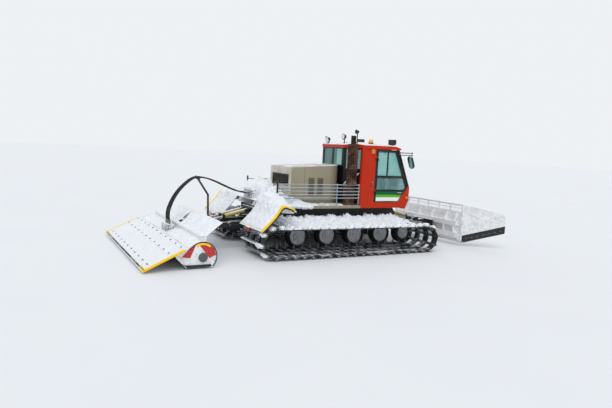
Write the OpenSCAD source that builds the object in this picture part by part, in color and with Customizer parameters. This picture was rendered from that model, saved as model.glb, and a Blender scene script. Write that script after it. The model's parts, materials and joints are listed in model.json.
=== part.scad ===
/* [Track] */
// Width over both tracks
track_span = 4100; // [3900:10:4300]
// Width of one track
track_w = 1310; // [1280:10:1340]
// Number of shoes on one track
shoe_n = 46; // [36:1:50]
// Height of a shoe's bar
bar_h = 60; // [40:1:80]
// Width of a shoe's bar where it sits on the belts
bar_foot = 74; // [50:1:90]
// Width of a shoe's bar at its edge
bar_edge = 16; // [8:1:30]
// Thickness of the rubber belts
belt_t = 25; // [15:1:35]
// Number of belts side by side
belt_n = 4; // [3:1:5]
// Width of one belt
belt_w = 200; // [150:5:220]
// Height of the guide teeth above the belts
tooth_h = 90; // [60:1:120]

/* [Wheels] */
// Radius of a road wheel's tyre
wheel_r = 285; // [270:1:300]
// Width of a road wheel's tyre
tyre_w = 220; // [160:1:260]
// Radius of a wheel's steel disc
rim_r = 212; // [180:1:225]
// Distance between two road wheels
wheel_pitch = 835; // [780:5:880]
// Number of road wheels on one side, the front idler apart
wheel_n = 4; // [3:1:4]
// Place of the rearmost road wheel
wheel_x = 640; // [600:5:700]
// Radius of the idler's steel disc
idler_rim_r = 168; // [140:1:190]
// Inner radius of the track around the drive sprocket
sprocket_r = 290; // [275:1:310]
// Height of the drive sprocket's centre
sprocket_z = 400; // [385:1:430]
// Distance of the drive sprocket behind the rearmost wheel
sprocket_back = 1060; // [1000:5:1100]
// Distance of the idler ahead of the front road wheel
idler_ahead = 765; // [700:5:820]

/* [Chassis] */
// Width of the chassis tub between the tracks
tub_w = 1360; // [1200:10:1400]
// Underside of the chassis tub
tub_z = 430; // [380:5:480]
// Top of the chassis tub, where the deck lies
deck_z = 1050; // [1000:5:1100]
// Thickness of the deck
deck_t = 70; // [40:5:90]
// Width of the deck
deck_w = 1960; // [1800:10:2060]
// Length of the deck behind the cab
deck_l = 2420; // [2200:10:2500]

/* [Engine cover] */
// Length of the engine cover
cover_l = 1540; // [1400:10:1600]
// Width of the engine cover
cover_w = 1200; // [1000:10:1300]
// Height of the cover's top edge at its rear
cover_top = 2050; // [1900:10:2100]
// Rise of the cover's top towards the cab
cover_rise = 90; // [0:5:120]
// Wall of the engine cover
cover_t = 35; // [20:1:50]
// Radius of the cover's upright corners at the cab
cover_round = 400; // [150:10:450]

/* [Cab] */
// Width of the cab
cab_w = 1960; // [1860:10:2060]
// Thickness of the cab's walls and doors
wall_t = 45; // [35:1:60]
// Height of the cab's walls above ground
cab_top = 2640; // [2560:10:2700]
// Width of the cab's rear wall between its slanting corners
back_w = 1110; // [900:10:1200]
// Depth of the slanting rear corners
corner_l = 330; // [250:5:400]
// Length of the cab's straight sides at the sill
side_l = 1580; // [1500:10:1650]
// Thickness of the roof
roof_t = 60; // [45:1:80]
// Height of the roof's crown over its edges
roof_crown = 80; // [40:5:110]
// Gap around each door
door_gap = 8; // [6:1:12]
// Thickness of the glass
glass_t = 8; // [6:1:12]

/* [Exhaust] */
// Diameter of the silencer's heat shield
muffler_d = 268; // [240:2:300]
// Length of the silencer's heat shield
muffler_l = 965; // [900:5:1050]
// Diameter of the tail pipe
pipe_d = 130; // [90:5:150]

/* [Rails] */
// Height of the top rail
rail_top = 1650; // [1600:5:1700]
// Distance between two rails
rail_pitch = 85; // [70:1:90]
// Number of rails on one side
rail_n = 5; // [3:1:5]
// Diameter of a rail
rail_d = 26; // [20:1:30]

/* [Blade] */
// Width of the blade without its wings
blade_w = 2900; // [2700:10:3100]
// Height of the blade
blade_h = 1080; // [1000:10:1150]
// Lowest edge of the blade above ground
blade_z = 95; // [80:5:150]
// Place of the blade's face ahead of the lift pivot
blade_ahead = 1640; // [1600:10:1750]
// Height of the wire guard along the blade's top
guard_h = 210; // [150:10:260]
// Length of a wing
wing_l = 1150; // [1000:10:1250]
// Angle of a wing ahead of the blade's line, in degrees
wing_rest = 45; // [30:1:50]
// Thickness of the blade's mouldboard
board_t = 40; // [25:1:60]

/* [Tiller] */
// Width of the tiller's housing
tiller_w = 4400; // [4200:10:4500]
// Radius of the housing's inside
hood_r = 260; // [240:5:300]
// Radius of the tined shaft out to its tips
reel_r = 205; // [180:1:215]
// Radius of the shaft's tube
reel_tube_r = 90; // [70:1:110]
// Height of the shaft's axis above ground
reel_z = 250; // [240:5:290]
// Distance of the shaft behind the tiller pivot
reel_back = 1270; // [1200:10:1350]
// Wall of the tiller's housing
hood_t = 30; // [20:1:40]
// Length of the finisher mat behind the housing
mat_l = 820; // [700:10:900]
// Thickness of the finisher mat
mat_t = 30; // [20:1:40]
// Number of rings of tines on the shaft
tine_n = 20; // [12:1:24]

/* [Hidden] */
$fn = 48;
clear = 0.3;
gap = 6;

// Places along the vehicle, before the origin is moved to the middle of its length
sprocket_x = wheel_x - sprocket_back;
idler_x = wheel_x + (wheel_n - 1) * wheel_pitch + idler_ahead;
belt_z = bar_h + belt_t;
wheel_z = belt_z + wheel_r + clear;
track_y = track_span / 2 - track_w / 2;
// The wheels run close beside the tub, so that most of the track lies outside them
wheel_y = tub_w / 2 + 220;
cab_back_x = 2120;
cab_side_x = cab_back_x + corner_l;
nose_x = cab_side_x + side_l;
floor_z = deck_z + deck_t;
blade_pivot = [4010, 560];
tiller_pivot = [-900, 600];
blade_x = blade_pivot[0] + blade_ahead;
reel_x = tiller_pivot[0] - reel_back;
// The hood's ramp leaves its round shell at this angle and falls to the mat's end
ramp_a = 115;
ramp_l = 430;
hood_out = hood_r + hood_t;
ramp_top = [reel_x + hood_out * cos(ramp_a), reel_z + hood_out * sin(ramp_a)];
ramp_d = [cos(ramp_a + 90), sin(ramp_a + 90)];
ramp_n = [cos(ramp_a), sin(ramp_a)];
mat_lift = 25.3;
mat_end_x = ramp_top[0] + ramp_d[0] * (ramp_l + mat_l - 60) + ramp_n[0] * (mat_lift + mat_t);
// The wing's hinge behind the blade's face, and how far the wing's plate and its foot lie from the axis
hinge_x = -70;
wing_back = 30;
foot_t = 12;
foot_in = 8;
front_x = blade_x + hinge_x + (wing_l - foot_in) * sin(wing_rest)
    + (board_t + foot_t - wing_back) * cos(wing_rest);
mid_x = (front_x + mat_end_x) / 2;

module centred() translate([-mid_x, 0, 0]) children();
// A side view drawn in X and Z, made solid from y to y + w
module across(y, w) translate([0, y + w, 0]) rotate([90, 0, 0]) linear_extrude(w) children();
// The same solid on the other side
module other_side() mirror([0, 1, 0]) children();
// A round bar along Y
module bar_y(x, y, z, r, l) translate([x, y + l, z]) rotate([90, 0, 0]) cylinder(r = r, h = l);
// A round bar between two points
module bar_to(a, b, r) {
    v = b - a;
    translate(a) rotate([0, acos(v[2] / norm(v)), atan2(v[1], v[0])]) cylinder(r = r, h = norm(v));
}

// The track's path: circles that it wraps, each as [x, z, radius], in order around the loop
belt_sag = 6;
wraps = [[wheel_x, wheel_z, wheel_z - belt_z], [idler_x, wheel_z, wheel_r + belt_sag],
    [sprocket_x, sprocket_z, sprocket_r]];
function link(i) = let (a = wraps[i % 3], b = wraps[(i + 1) % 3], d = [b[0] - a[0], b[1] - a[1]])
    atan2(d[1], d[0]) - acos((a[2] - b[2]) / norm(d));
function turned(a, b) = let (t = (a - b) % 360) t <= 0 ? t + 360 : t;
function on_wrap(i, a, out) = let (c = wraps[i % 3]) [c[0] + (c[2] + out) * cos(a),
    c[1] + (c[2] + out) * sin(a)];
arc_n = [1, 8, 7];
function loop_points(out) = [for (i = [0:2]) let (a0 = link(i + 2),
    a1 = turned(link(i), a0)) for (k = [0:arc_n[i]]) on_wrap(i, a0 + a1 * k / arc_n[i], out)];
// Stretches of the path at the belts' outside: [arc or run, length, index]
function stretch(i) = let (w = floor(i / 2) % 3, a0 = link(w + 2))
    i % 2 == 0 ? (wraps[w][2] + belt_t) * turned(link(w), a0) * PI / 180
    : norm(on_wrap(w + 1, link(w), belt_t) - on_wrap(w, link(w), belt_t));
lengths = [for (i = [0:5]) stretch(i)];
loop_l = lengths[0] + lengths[1] + lengths[2] + lengths[3] + lengths[4] + lengths[5];
// Place and outward angle at a length s along the path
function spot(s, i = 0) = s > lengths[i] ? spot(s - lengths[i], i + 1)
    : let (w = floor(i / 2), a0 = link(w + 2))
    i % 2 == 0 ? let (a = a0 + s / (wraps[w][2] + belt_t) * 180 / PI) [on_wrap(w, a, belt_t), a]
    : let (p = on_wrap(w, link(w), belt_t), q = on_wrap(w + 1, link(w), belt_t))
    [p + (q - p) * s / lengths[i], link(w)];

module belt_ring() difference() {
    polygon(loop_points(belt_t));
    polygon(loop_points(0));
}
// A shoe bar's section and a guide tooth's: both are cut to the belts' surface where they sit
module bar_section() polygon([[-belt_t / 2, -bar_foot / 2], [bar_h, -bar_edge / 2], [bar_h, bar_edge / 2],
    [-belt_t / 2, bar_foot / 2]]);
module tooth_section() polygon([[belt_t / 2, -tooth_foot / 2], [-belt_t - tooth_h, 0],
    [belt_t / 2, tooth_foot / 2]]);
tooth_foot = 50;
tooth_t = 16;
module at_shoes() for (i = [0:shoe_n - 1]) let (p = spot((i + 0.5) * loop_l / shoe_n))
    translate(p[0]) rotate(p[1]) children();
// The innermost belt carries the wheels, the outermost ends just inside the bars' ends
belt_in = 10;
belt_step = (track_span / 2 - belt_in - belt_w / 2 - wheel_y) / (belt_n - 1);
tooth_gap = 22;
module track() {
    color("#1c1d1f") for (i = [0:belt_n - 1]) across(-wheel_y - i * belt_step - belt_w / 2, belt_w)
        belt_ring();
    color("silver") across(-track_y - track_w / 2, track_w) difference() {
        at_shoes() bar_section();
        polygon(loop_points(belt_t + clear));
    }
    color("silver") for (s = [-1, 1]) across(-wheel_y + s * (tyre_w / 2 + tooth_gap) - tooth_t / 2, tooth_t)
        intersection() {
            at_shoes() tooth_section();
            polygon(loop_points(belt_t));
        }
}
module track_right() centred() track();
module track_left() centred() other_side() track();

function wheel_places() = [for (i = [0:wheel_n - 1]) wheel_x + i * wheel_pitch];
shoulder = 28;
module tyre(r, rim) rotate([90, 0, 0]) rotate_extrude($fn = 20)
    polygon([[rim + clear, -tyre_w / 2], [r - shoulder, -tyre_w / 2], [r, -tyre_w / 2 + shoulder],
        [r, tyre_w / 2 - shoulder], [r - shoulder, tyre_w / 2], [rim + clear, tyre_w / 2]]);
// The disc is dished, with a hub in its middle and holes around the hub
module disc(rim) difference() {
    rotate([90, 0, 0]) rotate_extrude($fn = 48)
        polygon([[44, -60], [70, -60], [100, -30], [rim - 26, 20], [rim - 26, -70], [rim, -76], [rim, 76],
        [rim - 12, 76], [rim - 26, 50], [110, 30], [100, 62], [44, 62]]);
    for (a = [0:60:300]) rotate([0, a, 0]) translate([84, 100, 0]) rotate([90, 0, 0])
        cylinder(r = 9, h = 200, $fn = 16);
}
module wheels() {
    color("lightgray") for (x = wheel_places()) translate([x, -wheel_y, wheel_z]) disc(rim_r);
    color("lightgray") translate([idler_x, -wheel_y, wheel_z]) disc(idler_rim_r);
}
module tyres() {
    color("#1b1b1c") for (x = wheel_places()) translate([x, -wheel_y, wheel_z]) tyre(wheel_r, rim_r);
    color("#1b1b1c") translate([idler_x, -wheel_y, wheel_z]) tyre(wheel_r, idler_rim_r);
}
module wheels_right() centred() wheels();
module wheels_left() centred() other_side() wheels();
module tyres_right() centred() tyres();
module tyres_left() centred() other_side() tyres();

module arm_side(x) polygon([[x - 60, wheel_z - 60], [x + 60, wheel_z - 60], [x + 300, wheel_z + 110],
    [x + 300, wheel_z + 230], [x + 180, wheel_z + 230], [x - 60, wheel_z + 60]]);
// Stub axles on trailing arms, from the tub's sides through the wheels' hubs
module axle_arms() color("#2b2c2e") centred() for (s = [-1, 1]) {
    for (x = wheel_places()) {
        bar_y(x, s > 0 ? tub_w / 2 : -wheel_y - 70, wheel_z, 43.7, wheel_y + 70 - tub_w / 2);
        across(s > 0 ? tub_w / 2 : -tub_w / 2 - 70, 70) arm_side(x);
    }
    bar_y(idler_x, s > 0 ? tub_w / 2 : -wheel_y - 70, wheel_z, 43.7, wheel_y + 70 - tub_w / 2);
    across(s > 0 ? tub_w / 2 : -tub_w / 2 - 70, 70) translate([idler_x, 0]) mirror([1, 0])
        translate([-idler_x, 0]) arm_side(idler_x);
}
// Two toothed rings on each drive shaft, on the gearbox at the tub's side
tooth_n = 13;
module toothed() {
    circle(r = sprocket_r - 60);
    for (i = [0:tooth_n - 1]) rotate(i * 360 / tooth_n)
        polygon([[sprocket_r - 80, -48], [sprocket_r - belt_sag - 2, -20], [sprocket_r - belt_sag - 2, 20],
            [sprocket_r - 80, 48]]);
}
module drive_sprockets() color("#3a3b3d") centred() for (s = [-1, 1])
    translate([sprocket_x, 0, sprocket_z]) {
    for (y = [wheel_y - 75, wheel_y + 55]) across(s > 0 ? y : -y - 20, 20) difference() {
        toothed();
        for (a = [0:60:300]) rotate(a) translate([152, 0]) circle(r = 38);
    }
    bar_y(0, s > 0 ? tub_w / 2 + clear : -wheel_y - 120, 0, 110, wheel_y + 120 - tub_w / 2 - clear);
}

tub_rear_x = sprocket_x + 190;
// The final drives' housings reach back from the tub to the sprockets' shafts
drive_box = 90;
tub_front_x = blade_pivot[0] - 190;
module chassis_tub() color("#303234") centred() {
    for (s = [-1, 1]) across(s > 0 ? tub_w / 2 - drive_box : -tub_w / 2, drive_box) {
        translate([sprocket_x, sprocket_z]) circle(r = 150);
        polygon([[sprocket_x - 60, sprocket_z + 137], [tub_rear_x + 60, deck_z - 200],
            [tub_rear_x + 60, tub_z + 120], [sprocket_x - 60, sprocket_z - 137]]);
    }
    across(-tub_w / 2, tub_w) polygon([[tub_rear_x, deck_z], [tub_rear_x, tub_z + 150],
        [tub_rear_x + 170, tub_z], [tub_front_x - 260, tub_z], [tub_front_x, tub_z + 180], [tub_front_x,
        deck_z - 160], [tub_front_x - 120, deck_z]]);
}

// Two cheeks and the pin between them, seen from the side: foot is the cheeks' base, pin is the pin's place
module clevis(foot, pin, pin_r, half, cheek, inner) {
    reach = (pin[0] > foot[0] ? half : -half) * 0.7;
    for (k = [0, 1]) across(k == 0 ? -inner / 2 - cheek : inner / 2, cheek)
        polygon([[foot[0], pin[1] + half], [foot[0], pin[1] - half], [pin[0], pin[1] - half * 0.75],
            [pin[0] + reach, pin[1] - half * 0.4], [pin[0] + reach, pin[1] + half * 0.4], [pin[0],
            pin[1] + half * 0.75]]);
    bar_y(pin[0], -inner / 2 - cheek - 8, pin[1], pin_r, inner + 2 * cheek + 16);
}
arm_y = 430;
arm_w = 70;
cheek_t = 30;
eye_w = 54;
eye_room = eye_w + 2 * gap;
pin_r = 30;
eye_pin_r = 20;
lift_base = [tub_front_x + 150, 860];
// A towing eye: a level plate with an upright hole, which a drop pin goes through from below
eye_bore_r = 24;
eye_plate = 40;
eye_reach = 90;
eye_half = 55;
module tow_eye(x, z, dir) translate([x, 0, z - eye_plate / 2]) linear_extrude(eye_plate) difference() {
    union() {
        translate([min(0, dir * eye_reach), -eye_half]) square([eye_reach, 2 * eye_half]);
        translate([dir * eye_reach, 0]) circle(r = eye_half);
    }
    translate([dir * eye_reach, 0]) circle(r = eye_bore_r);
}
front_plate = 60;
module front_carrier() color("#303234") centred() {
    across(-560, 1120) polygon([[tub_front_x, tub_z + 200], [tub_front_x + front_plate, tub_z + 200],
        [tub_front_x + front_plate, deck_z - 165], [tub_front_x, deck_z - 165]]);
    tow_eye(tub_front_x + front_plate - 1, 710, 1);
    for (s = [-1, 1]) {
        translate([0, s * arm_y, 0]) clevis([tub_front_x + front_plate, 0], blade_pivot, pin_r, 90,
            cheek_t, arm_w + 2 * gap);
        translate([0, s * 180, 0]) clevis([tub_front_x + front_plate, 0], lift_base, eye_pin_r, 60, 20,
            eye_room);
    }
}
tiller_arm_y = 330;
tiller_base = [tub_rear_x - 200, 930];
rear_plate = 90;
module rear_carrier() color("#303234") centred() {
    across(-430, 860) polygon([[tub_rear_x, tub_z + 160], [tub_rear_x - rear_plate, tub_z + 110],
        [tub_rear_x - rear_plate, deck_z - 40], [tub_rear_x, deck_z - 40]]);
    tow_eye(tub_rear_x - rear_plate + 1, 780, -1);
    for (s = [-1, 1]) {
        translate([0, s * tiller_arm_y, 0]) clevis([tub_rear_x - rear_plate, 0], tiller_pivot, pin_r, 110,
            cheek_t, arm_w + 2 * gap);
        translate([0, s * 150, 0]) clevis([tub_rear_x - rear_plate, 0], tiller_base, eye_pin_r, 60, 20,
            eye_room);
    }
}

deck_x = cab_side_x - deck_l;
// The cab's floor and the deck below it end here, inside the cab's sides
sill_y = cab_w / 2 - wall_t - clear;
well_z = deck_z + 30;
floor_end = nose_x - 190;
module deck() color("#8b8672") centred() difference() {
    translate([0, 0, deck_z]) linear_extrude(deck_t) difference() {
        translate([deck_x, -deck_w / 2]) square([floor_end - deck_x, deck_w]);
        for (s = [-1, 1]) translate([cab_side_x - clear, s > 0 ? sill_y : -sill_y - 200])
            square([side_l, 200]);
    }
    translate([deck_x + 300, -cover_w / 2 + 60, well_z])
        cube([cab_back_x - deck_x - 360, cover_w - 120, deck_t]);
}
rail_x0 = deck_x;
rail_x1 = cab_side_x - 60;
rail_y = deck_w / 2 - 30;
module side_rails() color("#6f7a70") centred() for (s = [-1, 1]) {
    for (i = [0:rail_n - 1]) translate([rail_x0, s * rail_y, rail_top - i * rail_pitch])
        rotate([0, 90, 0]) cylinder(d = rail_d, h = rail_x1 - rail_x0);
    for (x = [rail_x0 + 1700, rail_x1]) translate([x, s * rail_y, floor_z])
        cylinder(d = rail_d, h = rail_top + 8 - floor_z);
    translate([rail_x0, s * rail_y - 30, floor_z]) cube([24, 60, rail_top + 80 - floor_z]);
}

cover_x = cab_back_x - 20 - cover_l;
module cover_plan(in) {
    w = cover_w / 2 - in;
    r = cover_round - in;
    x1 = cover_x + cover_l - in;
    difference() {
        translate([cover_x + in, -w]) square([x1 - cover_x - in, 2 * w]);
        for (s = [-1, 1]) difference() {
            translate([x1 - r, s > 0 ? w - r : -w]) square([r + 1, r]);
            translate([x1 - r, s * (w - r)]) circle(r = r);
        }
    }
}
module cover_side(drop) polygon([[cover_x - 1, floor_z - 1], [cover_x + cover_l + 1, floor_z - 1],
    [cover_x + cover_l + 1, cover_top + cover_rise - drop], [cover_x - 1, cover_top - drop]]);
louvre_x = cover_x + 520;
// The cover stands on a foot set back under its walls
foot_h = 70;
foot_in_w = 18;
module engine_cover() color("#8b8672") centred() difference() {
    union() {
        intersection() {
            translate([0, 0, floor_z + foot_h]) linear_extrude(cover_top + cover_rise) cover_plan(0);
            across(-cover_w, 2 * cover_w) cover_side(0);
        }
        translate([0, 0, floor_z]) linear_extrude(foot_h + 1) cover_plan(foot_in_w);
    }
    intersection() {
        translate([0, 0, floor_z - 1]) linear_extrude(cover_top + cover_rise) cover_plan(cover_t);
        across(-cover_w, 2 * cover_w) cover_side(cover_t);
    }
    translate([cover_x - 5, -cover_w / 2 + 110, cover_top - 480]) cube([cover_t + 10, cover_w - 220, 300]);
    for (s = [-1, 1], x = [louvre_x, louvre_x + 260], i = [0:10])
        translate([x, s * cover_w / 2 - 60, 1340 + i * 42]) cube([170, 120, 20]);
}
module rear_grille() color("#26282a") centred() translate([cover_x + 8, 0, cover_top - 480]) {
    translate([0, -cover_w / 2 + 110.3, 0.3]) difference() {
        cube([14, cover_w - 220.6, 299.4]);
        translate([-5, 25, 25]) cube([24, cover_w - 270.6, 249.4]);
    }
    for (i = [1:17]) translate([4, -cover_w / 2 + 110 + i * 54.4, 10]) cylinder(r = 3, h = 280, $fn = 8);
    for (i = [1:5]) translate([9, -cover_w / 2 + 120, i * 50]) rotate([-90, 0, 0])
        cylinder(r = 3, h = cover_w - 240, $fn = 8);
}
module engine_block() color("#55585a") centred() translate([cover_x + 330, -310, well_z])
    cube([950, 620, 720]);

muffler_x = 2150;
muffler_y = -940;
muffler_z = 1735;
foot_flare = 60;
module exhaust() color("#6b4a3a") centred() translate([muffler_x, muffler_y, 0]) {
    translate([0, 0, muffler_z]) difference() {
        union() {
            cylinder(d = muffler_d, h = muffler_l);
            translate([0, 0, muffler_l]) cylinder(d = pipe_d, h = 220);
            translate([0, 0, -foot_flare]) cylinder(d1 = muffler_d + 50, d2 = muffler_d,
                h = foot_flare + 1);
            for (z = [muffler_l * 0.3, muffler_l * 0.68, muffler_l - 30]) translate([0, 0, z])
                cylinder(d = muffler_d + 12, h = 22);
        }
        translate([0, 0, muffler_l + 60]) cylinder(d = pipe_d - 16, h = 200);
    }
    translate([-130, 25, floor_z]) cube([260, 130, muffler_z - foot_flare + 1 - floor_z]);
}
// Guard over the rear of the tracks: its upper side from the deck's edge to its foot, as [x, z]
// Its points lie at shares of the way from the deck to behind the tracks, as [share, height]
guard_shape = [[0.108, 1190], [0.337, 1250], [0.446, 1215], [0.614, 1010], [0.843, 815], [1, 690]];
guard_x = sprocket_x - sprocket_r - belt_z - 5;
guard_line = concat([[deck_x - clear, floor_z]],
    [for (g = guard_shape) [deck_x + (guard_x - deck_x) * g[0], g[1]]]);
guard_crest = guard_line[2];
guard_t = 20;
function guard_under(i) = let (a = guard_line[max(i - 1, 0)],
    b = guard_line[min(i + 1, len(guard_line) - 1)], v = b - a)
    guard_line[i] + [-v[1], v[0]] / norm(v) * guard_t;
// The sheet follows the line down to its point n; it ends at the crest between the tracks
module guard_sheet(n) polygon(concat([for (i = [0:n]) guard_line[i]], [for (i = [n:-1:1]) guard_under(i)],
    [[deck_x - clear, floor_z - guard_t]]));
guard_in = tub_w / 2 + 20;
guard_out = track_span / 2 - 20;
module rear_apron() color("#e8e8e4") centred() {
    across(-guard_in - 1, 2 * guard_in + 2) guard_sheet(3);
    for (s = [-1, 1]) across(s > 0 ? guard_in : -guard_out, guard_out - guard_in)
        guard_sheet(len(guard_line) - 1);
    for (y = [-1900, -1000, -500, 460, 960, 1860]) across(y, 40)
        polygon([[deck_x - clear, floor_z - 60], [deck_x - clear, floor_z - 10], guard_line[1] - [0, 10],
        guard_crest - [0, 10], guard_line[3] + [5, -15], guard_line[3] - [60, 125]]);
}
// Lamps on the guards' feet, behind the tracks
guard_foot = guard_line[len(guard_line) - 1];
guard_heel = guard_under(len(guard_line) - 1);
foot_v = guard_heel - guard_foot;
foot_d = [foot_v[1], -foot_v[0]] / norm(foot_v) * clear;
module tail_lamps() color("#b3271e") centred() for (s = [-1, 1]) across(s * 1250 - 120, 240)
    polygon([guard_foot + foot_d, guard_heel + foot_d, guard_heel + [-6, -20], guard_heel + [-14, -70],
        guard_foot + [-40, -84], guard_foot + [-40, 0]]);

module cab_plan(in) polygon([[cab_back_x + in, -back_w / 2 + in * 0.45],
    [cab_side_x + in * 0.6, -cab_w / 2 + in], [nose_x + 60, -cab_w / 2 + in], [nose_x + 60,
    cab_w / 2 - in], [cab_side_x + in * 0.6, cab_w / 2 - in], [cab_back_x + in, back_w / 2 - in * 0.45]]);
floor_t = 40;
cab_z = floor_z + floor_t;
module cab_floor() color("#3b3d3f") centred() difference() {
    translate([0, 0, floor_z]) linear_extrude(floor_t) cab_plan(0);
    translate([floor_end, -2000, floor_z - 1]) cube([500, 4000, 200]);
    for (s = [-1, 1]) translate([cab_side_x - clear, s > 0 ? sill_y : -sill_y - 200, floor_z - 1])
        cube([side_l, 200, 200]);
}
// Side view of the cab's front: windscreen line, nose and sill, as [x, z]
wind_low = [nose_x, 1600];
wind_top = [nose_x - 420, cab_top];
module side_outline(in) polygon([[cab_side_x, cab_z], [nose_x - 70 - in, cab_z], [nose_x - in, cab_z + 90],
    [wind_low[0] - in, wind_low[1]], [wind_top[0] - in, wind_top[1]], [cab_side_x, cab_top]]);
// The door's outline: the lower front corner is cut off
door_x = cab_side_x + 420;
module door_outline(out) offset(delta = out)
    polygon([[door_x, cab_z + 50], [nose_x - 370, cab_z + 50], [nose_x - 75, wind_low[1] - 5],
    [wind_top[0] - 75, cab_top - 40], [door_x, cab_top - 40]]);
front_t = 50;
// Lower end of the nose, under the floor
nose_low = [nose_x - 110, deck_z - 30];
function wind_at(z) = let (v = wind_top - wind_low) wind_low[0] + v[0] * (z - wind_low[1]) / v[1];
pillar_w = 66;
module pillar() polygon([wind_low - [pillar_w, 0], wind_low, wind_top, wind_top - [pillar_w, 0]]);
module cab_side() color("#d8401f") difference() {
    across(-cab_w / 2, wall_t) difference() {
        polygon([[cab_side_x, deck_z], [nose_low[0] - 150, deck_z], nose_low, [nose_x, cab_z + 90],
            wind_low, wind_top, [cab_side_x, cab_top]]);
        polygon([wind_low - [pillar_w + clear, 0], wind_low - [pillar_w + clear, clear],
            wind_low + [99, -clear], wind_top + [99, 10], [wind_at(cab_top + 10) - pillar_w - clear,
            cab_top + 10]]);
    }
    across(-cab_w / 2 - 5, wall_t + 10) door_outline(door_gap);
}
// Door hinges: knuckles in front of the joint between panel and door, as heights
hinge_at = [1420, 2300];
door_hinge = [door_x - door_gap / 2, -cab_w / 2 - 14];
knuckle_r = 14;
knuckle_l = 70;
module leaf(side, z) translate([door_hinge[0], 0, z]) {
    translate([0, door_hinge[1], 0]) cylinder(r = knuckle_r, h = knuckle_l);
    translate([side > 0 ? 8 : -80, -cab_w / 2 - 8, 0]) cube([72, 8.5, knuckle_l]);
    translate([side > 0 ? 0 : -10, -cab_w / 2 - 14, 10]) cube([10, 13, knuckle_l - 20]);
}
module panel_leaves() for (z = hinge_at) {
    leaf(-1, z + knuckle_l + 2);
    translate([door_hinge[0], door_hinge[1], z - 8]) cylinder(r = 7, h = knuckle_l + 30);
}
module cab_side_right() centred() {
    cab_side();
    color("#d8401f") panel_leaves();
}
module cab_side_left() centred() other_side() {
    cab_side();
    color("#d8401f") panel_leaves();
}
module back_shell() difference() {
    linear_extrude(cab_top - cab_z) difference() {
        cab_plan(0);
        cab_plan(wall_t);
    }
    translate([cab_side_x - 0.3, -3000, -10]) cube([3000, 6000, 3000]);
}
corner_a = atan2(cab_w / 2 - back_w / 2, corner_l);
corner_c = norm([cab_w / 2 - back_w / 2, corner_l]);
// Windows in the rear wall and its slanting corners: edge is what is left of the wall beside them
corner_edge = 52;
corner_low = 2050;
back_low = 2140;
window_top = cab_top - 45;
back_divider = 40;
back_window_w = back_w / 2 - 75 - back_divider / 2;
module corner_window(s, grow, depth) translate([cab_back_x, s * back_w / 2, 0]) rotate([0, 0, s * corner_a])
    translate([corner_edge - grow, -depth, corner_low - cab_z - grow])
        cube([corner_c - 2 * corner_edge + 2 * grow, 2 * depth, window_top - corner_low + 2 * grow]);
module rear_window(grow, depth) for (s = [-1, 1])
    translate([cab_back_x - depth, s * (back_divider + back_window_w) / 2 - back_window_w / 2 - grow,
        back_low - cab_z - grow])
        cube([2 * depth, back_window_w + 2 * grow, window_top - back_low + 2 * grow]);
module cab_back() color("#d8401f") centred() translate([0, 0, cab_z]) difference() {
    back_shell();
    rear_window(0, 150);
    for (s = [-1, 1]) corner_window(s, 0, 150);
}
// The front is one folded sheet from under the floor to the roof, with the windscreen's opening in it
wind_edge = 70;
wind_z = wind_low[1] + 50;
head_z = cab_top - 40;
module front_sheet() polygon([nose_low, [nose_x, cab_z + 90], wind_low, [wind_at(head_z), head_z],
    [wind_at(head_z) - front_t, head_z], wind_low - [front_t, 0], [nose_x - front_t, cab_z + 90],
    nose_low - [front_t, 0]]);
module cab_front() color("#202224") centred() {
    difference() {
        across(-sill_y, 2 * sill_y) front_sheet();
        translate([nose_x - 900, -sill_y + wind_edge, wind_z])
            cube([1500, 2 * (sill_y - wind_edge), cab_top - 70 - wind_z]);
    }
    for (s = [-1, 1]) across(s > 0 ? cab_w / 2 - wall_t : -cab_w / 2, wall_t) pillar();
}
// The roof's top is where two arches meet: one across the cab and one along it
roof_r = (pow(cab_w / 2, 2) + pow(roof_crown, 2)) / (2 * roof_crown);
roof_mid = cab_back_x + 700;
roof_long_r = 2700;
roof_out = 18;
lip = 30;
crown_z = cab_top + roof_t + roof_crown;
roof_front = wind_top[0] + 50;
module arches(drop) intersection() {
    rotate([90, 0, 90]) translate([0, 0, cab_back_x - 100]) linear_extrude(side_l + 700) intersection() {
        translate([0, crown_z - drop - roof_r]) circle(r = roof_r, $fn = 360);
        translate([-cab_w / 2 - 30, cab_top - 100]) square([cab_w + 60, 500]);
    }
    across(-cab_w, 2 * cab_w) intersection() {
        translate([roof_mid, crown_z - drop - roof_long_r]) circle(r = roof_long_r, $fn = 360);
        translate([cab_back_x - 100, cab_top - 100]) square([side_l + 800, 500]);
    }
}
module cab_roof() color("#d8401f") centred() difference() {
    intersection() {
        translate([0, 0, cab_top - lip]) linear_extrude(300) intersection() {
            offset(delta = roof_out) cab_plan(0);
            translate([cab_back_x - 100, -2000]) square([roof_front - cab_back_x + 100, 4000]);
        }
        arches(0);
    }
    translate([0, 0, cab_top - 200]) linear_extrude(200) cab_plan(-clear);
    intersection() {
        arches(roof_t);
        translate([cab_side_x, -sill_y, cab_top - 1])
            cube([roof_front - cab_side_x - wall_t, 2 * sill_y, 300]);
    }
}
module cab_glass() color("#9fd0c8") centred() {
    intersection() {
        across(-sill_y + wind_edge + clear, 2 * (sill_y - wind_edge - clear)) difference() {
            side_outline(20);
            side_outline(20 + glass_t);
        }
        translate([nose_x - 900, -1500, wind_z + clear])
            cube([1500, 3000, cab_top - 70 - wind_z - 2 * clear]);
    }
    translate([0, 0, cab_z]) {
        intersection() {
            rear_window(-clear, 12 + glass_t / 2);
            translate([cab_back_x + 12, -1000, 0]) cube([glass_t, 2000, 2000]);
        }
        for (s = [-1, 1]) intersection() {
            corner_window(s, -clear, 100);
            linear_extrude(2000) difference() {
                cab_plan(16);
                cab_plan(16 + glass_t);
            }
        }
    }
}
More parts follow.
